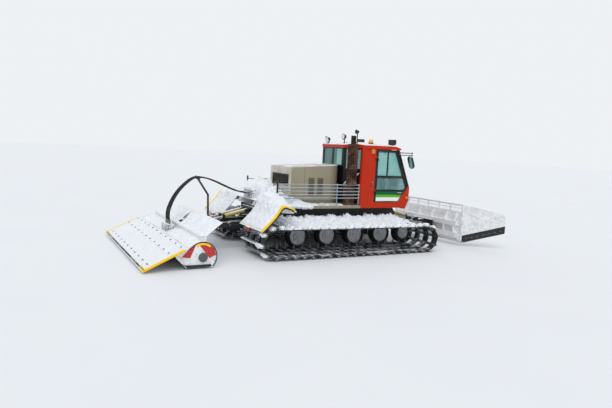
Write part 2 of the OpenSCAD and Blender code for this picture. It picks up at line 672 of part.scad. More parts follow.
// Seats: side view of cushion and back, from the seat's rear lower corner
seat_x = cab_side_x + 110;
seat_y = 420;
seat_w = 480;
seat_z = cab_z + 320;
cushion_l = 580;
cushion_t = 120;
back_h = 700;
module seats() color("#2f3136") centred() for (s = [-1, 1]) {
    across(s * seat_y - seat_w / 2, seat_w) polygon([[seat_x + 80, seat_z], [seat_x + cushion_l, seat_z],
        [seat_x + cushion_l + 10, seat_z + cushion_t], [seat_x + 200, seat_z + cushion_t], [seat_x + 80,
        seat_z + back_h], [seat_x - 20, seat_z + back_h - 20], [seat_x, seat_z + 80]]);
    translate([seat_x + 120, s * seat_y - 180, cab_z]) cube([380, 360, seat_z - cab_z - clear]);
}
// Dashboard under the windscreen, and the console between the seats
dash_x = nose_x - 470;
dash_w = 1520;
console_w = 240;
module dashboard() color("#2b2d30") centred() {
    across(-dash_w / 2, dash_w) polygon([[dash_x, cab_z], [floor_end, cab_z],
        [nose_x - front_t - gap, cab_z + 140], [nose_x - front_t - gap, wind_low[1] - 60], [dash_x + 240,
        wind_low[1] + 40], [dash_x, wind_low[1] - 40]]);
    across(-console_w / 2, console_w) polygon([[dash_x - 380, cab_z], [dash_x - 1, cab_z],
        [dash_x - 1, wind_low[1] - 100], [dash_x - 260, wind_low[1] - 160], [dash_x - 380,
        wind_low[1] - 220]]);
}

// Round lamps on stalks, as [x, y, height of the centre above the roof, radius, tilt of its face]
lamps = [[2190, 400, 115, 95, -108], [2290, -280, 170, 80, -90], [2390, -740, 300, 55, -90]];
lamp_t = 60;
post_r = 14;
// Height of the roof's top at a place, no lower than anywhere within reach r of it
function roof_at(x, y, r) = let (a = max(abs(y) - r, 0), b = max(abs(x - roof_mid) - r, 0))
    min(crown_z - roof_r + sqrt(roof_r * roof_r - a * a),
        crown_z - roof_long_r + sqrt(roof_long_r * roof_long_r - b * b)) + clear;
// A front work lamp: a box with cut corners on a foot
box_lamp = [110, 210, 150];
module front_lamp(x, y) translate([x, y, roof_at(x, y, post_r)]) {
    cylinder(r = post_r, h = 50);
    translate([-box_lamp[0] / 2, 0, 40]) rotate([90, 0, 90]) linear_extrude(box_lamp[0])
        polygon([[-box_lamp[1] / 2 + 30, 0], [box_lamp[1] / 2 - 30, 0], [box_lamp[1] / 2, 40],
            [box_lamp[1] / 2, box_lamp[2]], [-box_lamp[1] / 2, box_lamp[2]], [-box_lamp[1] / 2, 40]]);
}
module roof_lamps() color("#1d1e20") centred() {
    for (l = lamps) translate([l[0], l[1], roof_at(l[0], l[1], post_r)]) {
        cylinder(r = post_r, h = l[2]);
        translate([0, 0, l[2]]) rotate([0, l[4], 0]) translate([0, 0, -lamp_t / 2]) {
            cylinder(r1 = l[3] * 0.6, r2 = l[3], h = lamp_t);
            translate([0, 0, lamp_t]) cylinder(r = l[3], h = 18);
        }
    }
    for (s = [-1, 1]) front_lamp(wind_top[0] - 90, s * 760);
}
beacon_r = 62;
module beacon() color("#f0a818") centred() translate([2915, -620, roof_at(2915, -620, beacon_r + 8)]) {
    cylinder(r = beacon_r + 8, h = 20);
    cylinder(r = beacon_r, h = 46);
    rotate_extrude() intersection() {
        translate([0, 45]) circle(r = beacon_r);
        translate([0, 45]) square(beacon_r);
    }
}
// A mirror on two tubes: its head has round ends and leans outwards at its foot
mirror_x = wind_top[0] + 230;
mirror_y = -cab_w / 2 - 260;
mirror_z = cab_top - 95;
head_r = 88;
head_l = 170;
head_t = 46;
module mirror_set() color("#1d1e20") {
    translate([wind_top[0] - 24, -cab_w / 2 - 14 - clear, mirror_z - 85]) cube([48, 14, 110]);
    for (z = [0, 60]) bar_to([wind_top[0], -cab_w / 2 - 9, mirror_z - z],
        [mirror_x, mirror_y, mirror_z - z], 12);
    translate([mirror_x, mirror_y, mirror_z - 300]) cylinder(r = 12, h = 320);
    translate([mirror_x, mirror_y, mirror_z - 240]) rotate([-8, -14, 0]) translate([-head_t, 0, 0])
        rotate([90, 0, 90])
        linear_extrude(head_t) {
            translate([-head_r, -head_l / 2]) square([2 * head_r, head_l]);
            for (z = [-1, 1]) translate([0, z * head_l / 2]) circle(r = head_r);
        }
}
module mirrors() centred() {
    mirror_set();
    other_side() mirror_set();
}
// The door's lower panel, its crossbar and the upright between its two upper panes
door_panel_h = 375;
crossbar = [1860, 45];
upright = [door_x + 370, 32];
frame_w = 55;
module door() color("#202224") difference() {
    across(-cab_w / 2, wall_t) door_outline(0);
    across(-cab_w / 2 - 5, wall_t + 10) difference() {
        door_outline(-frame_w);
        translate([door_x, cab_z]) square([2000, door_panel_h]);
        translate([door_x, crossbar[0]]) square([2000, crossbar[1]]);
        translate([upright[0], crossbar[0] + 20]) square([upright[1], 1000]);
    }
}
module door_pane() color("#9fd0c8") across(-cab_w / 2 + 18, glass_t) difference() {
    door_outline(-frame_w - clear);
    translate([door_x, cab_z]) square([2000, door_panel_h + clear]);
    translate([door_x, crossbar[0] - clear]) square([2000, crossbar[1] + 2 * clear]);
    translate([upright[0] - clear, crossbar[0] + 20]) square([upright[1] + 2 * clear, 1000]);
}
module hung_door() color("#202224") difference() {
    union() {
        door();
        for (z = hinge_at) leaf(1, z);
    }
    for (z = hinge_at) translate([door_hinge[0], door_hinge[1], z - 20])
        cylinder(r = 7 + clear, h = knuckle_l + 40);
}
module door_right() centred() hung_door();
module door_left() centred() other_side() hung_door();
module door_glass_right() centred() door_pane();
module door_glass_left() centred() other_side() door_pane();

// Push frame: two side arms on the carrier's pins, a cross beam, and the ring of the blade's pivot
yoke_x = blade_x - 460;
yoke_low = 340;
yoke_h = 200;
yoke_r = 50;
lift_eye = [yoke_x - 175, 640];
module eye_post(x, z0, z, y) translate([0, y, 0]) {
    for (k = [0, 1]) across(k == 0 ? -eye_room / 2 - 20 : eye_room / 2, 20)
        polygon([[x - 80, z0], [x + 80, z0], [x + 38, z + 15], [x + 20, z + 36], [x - 20, z + 36],
            [x - 38, z + 15]]);
    bar_y(x, -eye_room / 2 - 28, z, eye_pin_r, eye_room + 56);
}
module push_frame() color("#34373a") centred() difference() {
    union() {
        for (s = [-1, 1]) across(s * arm_y - arm_w / 2, arm_w)
            polygon([[blade_pivot[0] - 62, blade_pivot[1] - 30], [blade_pivot[0], blade_pivot[1] - 70],
                [yoke_x - 240, 330], [yoke_x - 90, 330], [yoke_x - 90, 540], [blade_pivot[0] + 260,
                blade_pivot[1] + 110], [blade_pivot[0], blade_pivot[1] + 70], [blade_pivot[0] - 62,
                blade_pivot[1] + 30]]);
        translate([yoke_x - 260, -arm_y, yoke_low]) cube([170, 2 * arm_y, yoke_h]);
        translate([yoke_x - 120, -110, yoke_low]) cube([120, 220, yoke_h]);
        translate([yoke_x, 0, yoke_low]) cylinder(r = 110, h = yoke_h);
        for (s = [-1, 1]) eye_post(lift_eye[0], yoke_low + yoke_h - 10, lift_eye[1], s * 180);
    }
    for (s = [-1, 1]) bar_y(blade_pivot[0], s * arm_y - 100, blade_pivot[1], pin_r + clear, 200);
    translate([yoke_x, 0, yoke_low - 40]) cylinder(r = yoke_r, h = yoke_h + 80);
}
// A cylinder between two pins: its base, the eye on its rod, and its angle and length at rest
lift_v = [lift_eye[0] - lift_base[0], lift_eye[1] - lift_base[1]];
tiller_eye = [tiller_pivot[0] - 450, 700];
tiller_v = [tiller_eye[0] - tiller_base[0], tiller_eye[1] - tiller_base[1]];
module on_line(base, v, y) for (s = [-1, 1]) translate([base[0], s * y, base[1]])
    rotate([0, -atan2(v[1], v[0]), 0]) children();
barrel_r = 48;
barrel_start = 58;
neck_r = 26;
rod_r = 26;
module barrel(l) difference() {
    union() {
        bar_y(0, -eye_w / 2, 0, 42, eye_w);
        translate([30, 0, 0]) rotate([0, 90, 0]) cylinder(r = neck_r, h = 40);
        translate([barrel_start, 0, 0]) rotate([0, 90, 0]) cylinder(r = barrel_r, h = l * 0.58);
    }
    bar_y(0, -40, 0, eye_pin_r + clear, 80);
    translate([90, 0, 0]) rotate([0, 90, 0]) cylinder(r = rod_r + 1, h = l);
}
module rod(l) difference() {
    union() {
        translate([l * 0.34, 0, 0]) rotate([0, 90, 0]) cylinder(r = rod_r, h = l * 0.66 - 20);
        bar_y(l, -eye_w / 2, 0, 38, eye_w);
    }
    bar_y(l, -40, 0, eye_pin_r + 5, 80);
}
module lift_barrels() color("#b9a52e") centred() on_line(lift_base, lift_v, 180) barrel(norm(lift_v));
module lift_rods() color("silver") centred() on_line(lift_base, lift_v, 180) rod(norm(lift_v));

// The mouldboard's section: two arcs about one centre ahead of it, hollow to the front
board_r = 1400;
board_c = [board_r - 60, blade_z + blade_h * 0.42];
board_h = blade_h - guard_h;
module board_zone() translate([-500, blade_z]) square([800, board_h]);
module board_section() intersection() {
    difference() {
        translate(board_c) circle(r = board_r + board_t, $fn = 180);
        translate(board_c) circle(r = board_r, $fn = 180);
    }
    board_zone();
}
// What lies behind the mouldboard is cut to its arc
module behind_board() difference() {
    children();
    translate(board_c) circle(r = board_r + board_t - 4, $fn = 180);
}
yoke_plate_x = -260;
module blade_yoke() color("#34373a") centred() {
    translate([yoke_x, 0, yoke_low - gap - 40]) cylinder(r = yoke_r - clear, h = yoke_h + 2 * gap + 80);
    for (z = [yoke_low - gap - 40, yoke_low + yoke_h + gap])
        translate([yoke_x - 90, -120, z]) cube([blade_x + yoke_plate_x - yoke_x + 95, 240, 40]);
    translate([blade_x + yoke_plate_x, -450, 280]) cube([60 - clear, 900, 330]);
}
wing_gap = 45;
hinge_r = 34;
hinge_z = [blade_z + 60, blade_z + 300, blade_z + 540, blade_z + 780];
knuckle_h = 170;
wing_pin_r = 18;
// Place of the mouldboard's face at a height, and the guard of upright wires under a top tube
function board_x(z) = board_c[0] - sqrt(pow(board_r + board_t / 2, 2) - pow(z - board_c[1], 2));
guard_tube = 22;
wire_n = 47;
module top_guard() {
    x = board_x(blade_z + board_h - 10);
    top = blade_z + blade_h - guard_tube;
    bar_y(x, -blade_w / 2, top, guard_tube, blade_w);
    bar_y(x, -blade_w / 2 + 5, (top + blade_z + board_h) / 2, 6, blade_w - 10);
    for (y = [-blade_w / 2 + 20 : (blade_w - 40) / 6 : blade_w / 2])
        translate([x - 12, y - 15, blade_z + board_h - 12])
        cube([24, 30, guard_h - guard_tube]);
    for (i = [1:wire_n]) translate([x, -blade_w / 2 + i * blade_w / (wire_n + 1), blade_z + board_h - 10])
        cylinder(r = 5, h = guard_h - guard_tube, $fn = 8);
}
module blade() color("#e9e9e6") centred() translate([blade_x, 0, 0]) {
    across(-blade_w / 2, blade_w) board_section();
    for (z = [230, 560]) across(-blade_w / 2 + 60, blade_w - 120) behind_board()
        polygon([[-200, z], [0, z], [0, z + 130], [-200, z + 130]]);
    for (y = [-1300, -900, -300, 260, 860, 1260]) across(y, 40) behind_board()
        polygon([[-200, 230], [0, blade_z + 40], [60, blade_z + board_h - 20],
            [-90, blade_z + board_h - 60], [-200, 690]]);
    top_guard();
    for (s = [-1, 1]) {
        for (i = [0, 2]) translate([hinge_x, s * (blade_w / 2 + wing_gap), hinge_z[i]]) {
            cylinder(r = hinge_r, h = knuckle_h);
            translate([-hinge_r, s > 0 ? -wing_gap - 80 : 0, 0])
                cube([2 * hinge_r - 20, wing_gap + 80, knuckle_h]);
        }
        translate([hinge_x, s * (blade_w / 2 + wing_gap), hinge_z[0]])
            cylinder(r = wing_pin_r, h = hinge_z[3] + knuckle_h + 20 - hinge_z[0]);
    }
}
// Cutting edge along the blade's foot, curved as the blade is
edge_h = 190;
edge_t = 20;
edge_low = 12;
module blade_edge() color("#1f1f20") centred() translate([blade_x, 0, 0]) {
    across(-blade_w / 2 + 10, blade_w - 20) intersection() {
        difference() {
            translate(board_c) circle(r = board_r - clear, $fn = 180);
            translate(board_c) circle(r = board_r - edge_t, $fn = 180);
        }
        translate([-500, blade_z - edge_low]) square([800, edge_h]);
    }
}
// A wing narrows towards its tip, as [distance from hinge, height above ground]
wing_shape = [[26, blade_z + 30], [wing_l, blade_z + 380], [wing_l, blade_z + 820],
    [wing_l - 90, blade_z + 900], [26, blade_z + blade_h]];
module wing_plate(x, t, shape) translate([x + t, 0, 0]) rotate([90, 0, -90]) linear_extrude(t)
    polygon(shape);
module wing() color("#e9e9e6") translate([blade_x + hinge_x, -blade_w / 2 - wing_gap, 0])
    rotate([0, 0, wing_rest]) difference() {
    union() {
        wing_plate(-wing_back, board_t, wing_shape);
        wing_plate(-wing_back - foot_t, board_t + 2 * foot_t,
            [[60, blade_z + 15], [wing_l - foot_in, blade_z + 366], [wing_l - foot_in, blade_z + 440],
            [60, blade_z + 130]]);
        for (i = [1, 3]) translate([0, 0, hinge_z[i]]) {
            cylinder(r = hinge_r, h = knuckle_h);
            translate([-wing_back, -120, 0]) cube([board_t, 120, knuckle_h]);
        }
    }
    for (i = [0, 2]) translate([0, 0, hinge_z[i] - 10]) cylinder(r = hinge_r + gap, h = knuckle_h + 20);
    cylinder(r = wing_pin_r + clear, h = 3000);
}
module wing_right() centred() wing();
module wing_left() centred() other_side() wing();

// Tiller: two arms on the rear carrier's pins, a cross beam on the hood, and the cylinders' posts
beam_x = reel_x + 120;
beam_z = reel_z + hood_r + hood_t;
module tiller_arm() color("#34373a") centred() difference() {
    union() {
        for (s = [-1, 1]) across(s * tiller_arm_y - arm_w / 2, arm_w)
            polygon([[tiller_pivot[0] + 62, tiller_pivot[1] - 30], [tiller_pivot[0], tiller_pivot[1] - 70],
                [beam_x + 20, beam_z - 10], [beam_x - 40, beam_z + 40], [beam_x - 40, beam_z + 110],
                [tiller_pivot[0] - 450, tiller_pivot[1] + 60], [tiller_pivot[0], tiller_pivot[1] + 70],
                [tiller_pivot[0] + 62, tiller_pivot[1] + 30]]);
        translate([beam_x - 110, -tiller_w / 2 + 160, beam_z + clear]) cube([120, tiller_w - 320, 110]);
        translate([tiller_eye[0] - 90, -tiller_arm_y, tiller_pivot[1] - 40])
            cube([180, 2 * tiller_arm_y, 80]);
        for (s = [-1, 1]) eye_post(tiller_eye[0], tiller_pivot[1] + 30, tiller_eye[1], s * 150);
    }
    for (s = [-1, 1]) bar_y(tiller_pivot[0], s * tiller_arm_y - 100, tiller_pivot[1], pin_r + clear, 200);
}
module tiller_barrels() color("#b9a52e") centred() on_line(tiller_base, tiller_v, 150)
    barrel(norm(tiller_v));
module tiller_rods() color("silver") centred() on_line(tiller_base, tiller_v, 150) rod(norm(tiller_v));

cap_t = 20;
module ramp(from, to, low, high) polygon([ramp_top + ramp_d * from + ramp_n * low,
    ramp_top + ramp_d * to + ramp_n * low, ramp_top + ramp_d * to + ramp_n * high,
    ramp_top + ramp_d * from + ramp_n * high]);
module hood_section() {
    difference() {
        translate([reel_x, reel_z]) circle(r = hood_out, $fn = 96);
        translate([reel_x, reel_z]) circle(r = hood_r, $fn = 96);
        translate([reel_x - 1000, -100]) square([2000, 100 + reel_z - 170]);
        translate([reel_x - 1000, reel_z - 300]) square([1000 - hood_r * 0.55, 480]);
    }
    ramp(-30, ramp_l, -hood_t, 0);
}
module cap_section() difference() {
    union() {
        translate([reel_x, reel_z]) circle(r = hood_out + 25, $fn = 96);
        polygon([ramp_top + ramp_n * 25 + ramp_d * -10, ramp_top + ramp_n * 25 + ramp_d * (ramp_l + 50),
            ramp_top + ramp_d * (ramp_l + 60) - ramp_n * 60, [reel_x - 330, 34], [reel_x + 170, 34],
            [reel_x, reel_z]]);
    }
    translate([reel_x - 2000, -500]) square([4000, 534]);
}
bearing_r = 40;
module tiller_hood() color("#e9e9e6") centred() {
    across(-tiller_w / 2 + cap_t - 1, tiller_w - 2 * cap_t + 2) hood_section();
    for (s = [-1, 1]) difference() {
        union() {
            across(s > 0 ? tiller_w / 2 - cap_t : -tiller_w / 2, cap_t) cap_section();
            bar_y(reel_x, s > 0 ? tiller_w / 2 - 1 : -tiller_w / 2 - 39, reel_z, 100, 40);
        }
        bar_y(reel_x, s > 0 ? tiller_w / 2 - 100 : -tiller_w / 2 - 20, reel_z, bearing_r, 120);
    }
    for (y = [-1300, -500, 460, 1260]) across(y, 40)
        polygon([[reel_x + 5, beam_z - 40], [reel_x + 150, beam_z - 60], [reel_x + 150, beam_z],
            [reel_x + 5, beam_z]]);
}
mat_over = 150;
module finisher_mat() color("#e9e9e6") centred()
    across(-tiller_w / 2 - mat_over, tiller_w + 2 * mat_over) difference() {
        ramp(230, ramp_l + mat_l - 60, mat_lift, mat_lift + mat_t);
        translate([reel_x - 3000, -500]) square([3000, 525]);
    }
module tiller_shaft() color("#5b5f62") centred() {
    bar_y(reel_x, -tiller_w / 2 + cap_t + 10, reel_z, reel_tube_r, tiller_w - 2 * cap_t - 20);
    bar_y(reel_x, -tiller_w / 2 - 15, reel_z, bearing_r - clear, tiller_w + 30);
    for (i = [0:tine_n - 1], k = [0:3]) translate([reel_x,
        (i - (tine_n - 1) / 2) * (tiller_w - 300) / (tine_n - 1), reel_z])
        rotate([0, i * 18 + k * 90, 0]) translate([-12, -20, reel_tube_r - 5])
            cube([24, 40, reel_r - reel_tube_r + 4.5]);
}
shield_w = 3500;
module tiller_shield() color("#e9e9e6") centred() {
    across(-shield_w / 2, shield_w) polygon([[beam_x + 200, beam_z + 140], [beam_x + 360, beam_z + 380],
        [beam_x + 340, beam_z + 393], [beam_x + 180, beam_z + 153]]);
    for (y = [-1400, -700, 660, 1360]) across(y, 40)
        polygon([[beam_x + 10.3, beam_z + 20], [beam_x + 60, beam_z + 20], [beam_x + 193, beam_z + 151],
            [beam_x + 278, beam_z + 278], [beam_x + 10.3, beam_z + 100]]);
}
// Hose mast: a bent post on the cylinders' cross beam, with the clamp that holds the hoses
mast = [[tiller_eye[0], 641.2], [tiller_eye[0] - 20, 1300], [-1640, 1700]];
hose_y = [-75, 0, 75];
hose_r = 17;
module mast_leg(i) bar_to([mast[i][0], 0, mast[i][1]], [mast[i + 1][0], 0, mast[i + 1][1]], 24);
module hose_mast() color("#2d2f31") centred() difference() {
    union() {
        mast_leg(0);
        mast_leg(1);
        translate([mast[1][0], 0, mast[1][1]]) sphere(r = 28);
        translate([mast[2][0] - 25, -130, mast[2][1] - 20]) cube([50, 260, 80]);
    }
    for (y = hose_y) translate([mast[2][0] - 50, y, mast[2][1] + 25]) rotate([0, 90, 0])
        cylinder(r = hose_r + clear, h = 100);
}
// The block that the vehicle's hoses leave stands on the rear guard's crest, at any length of the deck
bulkhead_w = 520;
bulkhead_x = [guard_crest[0] + (guard_line[3][0] - guard_crest[0]) * 0.88, guard_crest[0] + 30];
bulkhead_top = guard_crest[1] + 190;
// A hose's route seen from the side, as [x, z], from the tiller's motor to the clamp and on to the vehicle
hose_up = [[-2330, 620], [-2330, 700], [-2340, 800], [-2330, 930], [-2280, 1080], [-2200, 1250],
    [-2090, 1410], [-1960, 1550], [-1820, 1665], [-1720, 1717], [-1665, 1725]];
hose_free = [[-1615, 1725], [-1550, 1724], [-1450, 1710], [-1320, 1675], [-1170, 1620], [-1020, 1555],
    [-880, 1495], [-740, 1440], [-600, 1395], [-460, 1372], [-330, 1370]];
// The route is drawn out evenly, so that its end meets the bulkhead
hose_last = len(hose_free) - 1;
hose_pull = bulkhead_x[0] - clear - hose_free[hose_last][0];
hose_down = [for (i = [0:hose_last]) hose_free[i] + [hose_pull * i / hose_last, 0]];
hose_sides = 8;
module hose(route, y0, y1, r) {
    n = len(route);
    function tangent(i) = let (a = route[max(i - 1, 0)], b = route[min(i + 1, n - 1)], v = b - a)
        v / norm(v);
    function ring_point(i, a) = let (t = tangent(i), y = y0 + (y1 - y0) * i / (n - 1))
        [route[i][0] - t[1] * r * cos(a), y + r * sin(a), route[i][1] + t[0] * r * cos(a)];
    pts = [for (i = [0:n - 1], k = [0:hose_sides - 1]) ring_point(i, k * 360 / hose_sides)];
    rings = [for (i = [0:n - 2], k = [0:hose_sides - 1]) let (a = i * hose_sides + k,
        b = i * hose_sides + (k + 1) % hose_sides) [a, b, b + hose_sides, a + hose_sides]];
    ends = [[for (k = [hose_sides - 1:-1:0]) k], [for (k = [0:hose_sides - 1]) (n - 1) * hose_sides + k]];
    polyhedron(points = pts, faces = concat(rings, ends));
}
module tiller_hoses() color("#161617") centred() for (y = hose_y) hose(hose_up, y * 2, y, hose_r);
module lift_hoses() color("#161617") centred() for (y = hose_y) hose(hose_down, y, y * 1.6, hose_r);
// Block that the hoses end in on the tiller, on the hood
module tiller_motor() color("#46494c") centred() {
    across(-230, 460) difference() {
        polygon([ramp_top + ramp_d * 140 + ramp_n * clear, ramp_top - ramp_d * 32 + ramp_n * clear,
            [-2240, reel_z + hood_r], [-2240, 619.7], [-2420, 619.7]]);
        translate([reel_x, reel_z]) circle(r = hood_out + clear, $fn = 96);
    }
}
function on_guard(x) = [x, lookup(x, guard_line) + clear];
module hose_bulkhead() color("#303234") centred() across(-bulkhead_w / 2, bulkhead_w)
    polygon([on_guard(bulkhead_x[0]), on_guard(guard_crest[0]), on_guard(bulkhead_x[1]),
        [bulkhead_x[1], bulkhead_top], [bulkhead_x[0], bulkhead_top]]);

chassis_tub();
axle_arms();
track_right();
track_left();
wheels_right();
wheels_left();
tyres_right();
tyres_left();
drive_sprockets();
front_carrier();
rear_carrier();
deck();
side_rails();
engine_cover();
engine_block();
rear_grille();
exhaust();
rear_apron();
tail_lamps();
cab_floor();
cab_back();
cab_side_right();
cab_side_left();
cab_front();
cab_roof();
cab_glass();
seats();
dashboard();
roof_lamps();
beacon();
mirrors();
door_right();
door_left();
door_glass_right();
door_glass_left();
push_frame();
lift_barrels();
lift_rods();
blade_yoke();
blade();
blade_edge();
wing_right();
wing_left();
tiller_arm();
tiller_hood();
finisher_mat();
tiller_shaft();
tiller_barrels();
tiller_rods();
tiller_shield();
tiller_motor();
hose_mast();
tiller_hoses();
lift_hoses();
hose_bulkhead();
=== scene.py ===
# %% [markdown]
# # A snow groomer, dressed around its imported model
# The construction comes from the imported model, which is loaded as a fixed frame. This script gives every
# surface its finish, and replaces the pieces whose look needs more than the frame holds: the belts and
# bars of the tracks, the hoses, the seats, lamps, trim and fastenings. Shapes are worked out with numpy
# as whole arrays, because a formula says what a shape is and stays easy to change. Places along the
# vehicle are written from the drawing's zero, and `at` moves them to the frame's own.

# %% Load the frame
import json
import math

import bmesh
import bpy
import numpy as np
from mathutils import Matrix, Vector


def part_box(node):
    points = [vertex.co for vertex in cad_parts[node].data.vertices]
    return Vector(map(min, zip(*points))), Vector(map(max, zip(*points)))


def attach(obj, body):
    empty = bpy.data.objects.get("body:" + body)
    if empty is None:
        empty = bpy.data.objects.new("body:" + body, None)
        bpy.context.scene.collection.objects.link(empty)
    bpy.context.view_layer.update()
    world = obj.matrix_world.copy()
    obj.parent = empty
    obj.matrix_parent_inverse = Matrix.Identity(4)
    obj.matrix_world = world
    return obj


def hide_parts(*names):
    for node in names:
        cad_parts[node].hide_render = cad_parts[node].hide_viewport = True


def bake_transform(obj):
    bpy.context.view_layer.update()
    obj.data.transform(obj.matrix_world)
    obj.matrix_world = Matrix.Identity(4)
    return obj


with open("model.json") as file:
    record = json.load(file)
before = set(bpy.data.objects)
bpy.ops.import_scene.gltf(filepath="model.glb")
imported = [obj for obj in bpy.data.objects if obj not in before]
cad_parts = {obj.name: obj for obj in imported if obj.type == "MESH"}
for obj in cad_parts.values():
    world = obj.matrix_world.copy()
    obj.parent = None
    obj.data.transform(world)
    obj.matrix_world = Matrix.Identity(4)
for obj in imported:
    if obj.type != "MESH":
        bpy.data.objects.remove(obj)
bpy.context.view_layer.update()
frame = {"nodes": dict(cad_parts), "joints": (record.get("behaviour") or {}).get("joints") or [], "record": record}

joints = {joint["name"]: joint for joint in frame["joints"]}
LIFT_PIVOT_X = 4.010
MIDDLE = LIFT_PIVOT_X - joints["blade_lift"]["pos_m"][0]
SIDES = ((-1, "right"), (1, "left"))
ORIGIN = (0.0, 0.0, 0.0)


def at(x):
    """A place along the vehicle, from the drawing's zero to the frame's own."""
    return x - MIDDLE


print("frame:", len(frame["nodes"]), "nodes, places are", round(MIDDLE, 4), "m behind the drawing's zero")

# %% [markdown]
# ## Camera
# The photograph was taken from the right rear, slightly above the tracks. Its camera was worked out from
# places that can be measured on the vehicle. A camera looks along its own -Z, so its matrix has the
# right, up and backward directions as columns.

# %% Camera
PHOTO_W, PHOTO_H = 612, 408
CAMERA_AT = (-7.051, -12.676, 2.576)
CAMERA_TURN, CAMERA_DIP, CAMERA_ROLL = np.radians((-28.594, 6.022, 2.844)).tolist()
LENS = 31.82
SENSOR = 36.0
FAR_CLIP = 300


def camera_matrix(place, turn, dip, roll):
    """Columns are right, up and backward: forward is (-sin t cos d, cos t cos d, -sin d)."""
    forward = np.array([-math.sin(turn) * math.cos(dip), math.cos(turn) * math.cos(dip), -math.sin(dip)])
    level = np.array([math.cos(turn), math.sin(turn), 0.0])
    upright = np.cross(level, forward)
    right = math.cos(roll) * level + math.sin(roll) * upright
    up = -math.sin(roll) * level + math.cos(roll) * upright
    rows = np.eye(4)
    rows[:3, 0], rows[:3, 1], rows[:3, 2], rows[:3, 3] = right, up, -forward, place
    return Matrix(rows.tolist())


camera = bpy.data.objects.new("camera", bpy.data.cameras.new("camera"))
bpy.context.scene.collection.objects.link(camera)
camera.data.lens, camera.data.sensor_width = LENS, SENSOR
camera.data.clip_end = FAR_CLIP
camera.matrix_world = camera_matrix(CAMERA_AT, CAMERA_TURN, CAMERA_DIP, CAMERA_ROLL)
bpy.context.scene.camera = camera
bpy.context.scene.view_settings.view_transform = "Standard"
print("camera: lens", LENS, "mm for a picture of", PHOTO_W, "by", PHOTO_H)

# %% [markdown]
# ## Shader maths as Python
# A material is a graph of nodes, and a graph is easier to read as an expression. `Wire` holds one output
# socket. Adding or multiplying wires adds Math nodes, so `1 - mask * 0.5` is a valid line. Every other
# node comes from `Finish.node`, which sets the node's settings before it links its inputs.


# %% Wires and finishes
class Wire:
    """One output socket: arithmetic on it adds Math nodes to the same tree."""

    def __init__(self, tree, socket):
        self.tree, self.socket = tree, socket

    def math(self, operation, other=0.0, swap=False):
        """A Math node on this wire and another wire or number."""
        made = self.tree.nodes.new("ShaderNodeMath")
        made.operation = operation
        for slot, value in zip((1, 0) if swap else (0, 1), (self, other)):
            if isinstance(value, Wire):
                self.tree.links.new(value.socket, made.inputs[slot])
            else:
                made.inputs[slot].default_value = value
        return Wire(self.tree, made.outputs[0])

    def __add__(self, other):
        return self.math("ADD", other)

    def __sub__(self, other):
        return self.math("SUBTRACT", other)

    def __rsub__(self, other):
        return self.math("SUBTRACT", other, swap=True)

    def __mul__(self, other):
        return self.math("MULTIPLY", other)

    def __truediv__(self, other):
        return self.math("DIVIDE", other)

    def __gt__(self, other):
        return self.math("GREATER_THAN", other)

    def __lt__(self, other):
        return self.math("LESS_THAN", other)

    def __abs__(self):
        return self.math("ABSOLUTE")

    __radd__ = __add__
    __rmul__ = __mul__

    def either(self, other):
        """The greater of two masks."""
        return self.math("MAXIMUM", other)

    def soft(self, low, high):
        """0 below low, 1 above high and an even slope between them."""
        return ((self - low) / (high - low)).math("MINIMUM", 1.0).math("MAXIMUM", 0.0)


class Finish:
    """A new material with a Principled shader, and the one method that adds any other node."""

    def __init__(self, name, rough=0.5, metallic=0.0, **fixed):
        self.material = bpy.data.materials.new(name)
        self.material.use_nodes = True
        self.tree = self.material.node_tree
        self.shader = self.tree.nodes["Principled BSDF"]
        self.shader.inputs["Roughness"].default_value = rough
        self.shader.inputs["Metallic"].default_value = metallic
        for socket, value in fixed.items():
            self.shader.inputs[socket.replace("_", " ")].default_value = value
        coordinates = self.tree.nodes.new("ShaderNodeTexCoord")
        self.place = Wire(self.tree, coordinates.outputs["Object"])
        self.facing = Wire(self.tree, coordinates.outputs["Normal"])
        self.map = Wire(self.tree, coordinates.outputs["UV"])

    def node(self, kind, settings=None, output=0, **inputs):
        """A node whose settings come first, then values or links; _6 names the socket with index 6."""
        made = self.tree.nodes.new(kind)
        for name, value in (settings or {}).items():
            setattr(made, name, value)
        for name, value in inputs.items():
            socket = made.inputs[int(name[1:])] if name[0] == "_" else made.inputs[name.replace("_", " ")]
            if isinstance(value, Wire):
                self.tree.links.new(value.socket, socket)
            else:
                socket.default_value = value
        return Wire(self.tree, made.outputs[output])

    def set(self, socket, wire):
        """Links a wire to one of the shader's sockets."""
        self.tree.links.new(wire.socket, self.shader.inputs[socket])

    def axes(self, vector=None):
        """The x, y and z of a vector, or of the place in the object's own metres."""
        split = self.tree.nodes.new("ShaderNodeSeparateXYZ")
        self.tree.links.new((vector or self.place).socket, split.inputs[0])
        return [Wire(self.tree, socket) for socket in split.outputs]

    def noise(self, scale, detail=4.0, rough=0.55, stretch=None):
        """Smooth noise from 0 to 1, scale waves to the metre, stretched along the axes if asked."""
        where = self.place
        if stretch:
            where = self.node("ShaderNodeMapping", Vector=self.place, Scale=stretch)
        return self.node("ShaderNodeTexNoise", Vector=where, Scale=scale, Detail=detail, Roughness=rough)

    def mix(self, amount, first, second):
        """A colour that goes from first to second as amount goes from 0 to 1."""
        return self.node("ShaderNodeMix", {"data_type": "RGBA"}, 2, _0=amount, _6=first, _7=second)

    def fade(self, first, second):
        """A colour that wanders between two over the better part of a metre."""
        return self.mix(self.noise(1.3, 3.0), first, second)

    def peel(self):
        """The fine orange peel of sprayed paint."""
        return self.noise(240.0, 2.0)

    def bump(self, height, depth, strength=1.0):
        """The surface's normal, bent by a height."""
        self.set("Normal", self.node("ShaderNodeBump", Height=height, Distance=depth, Strength=strength))


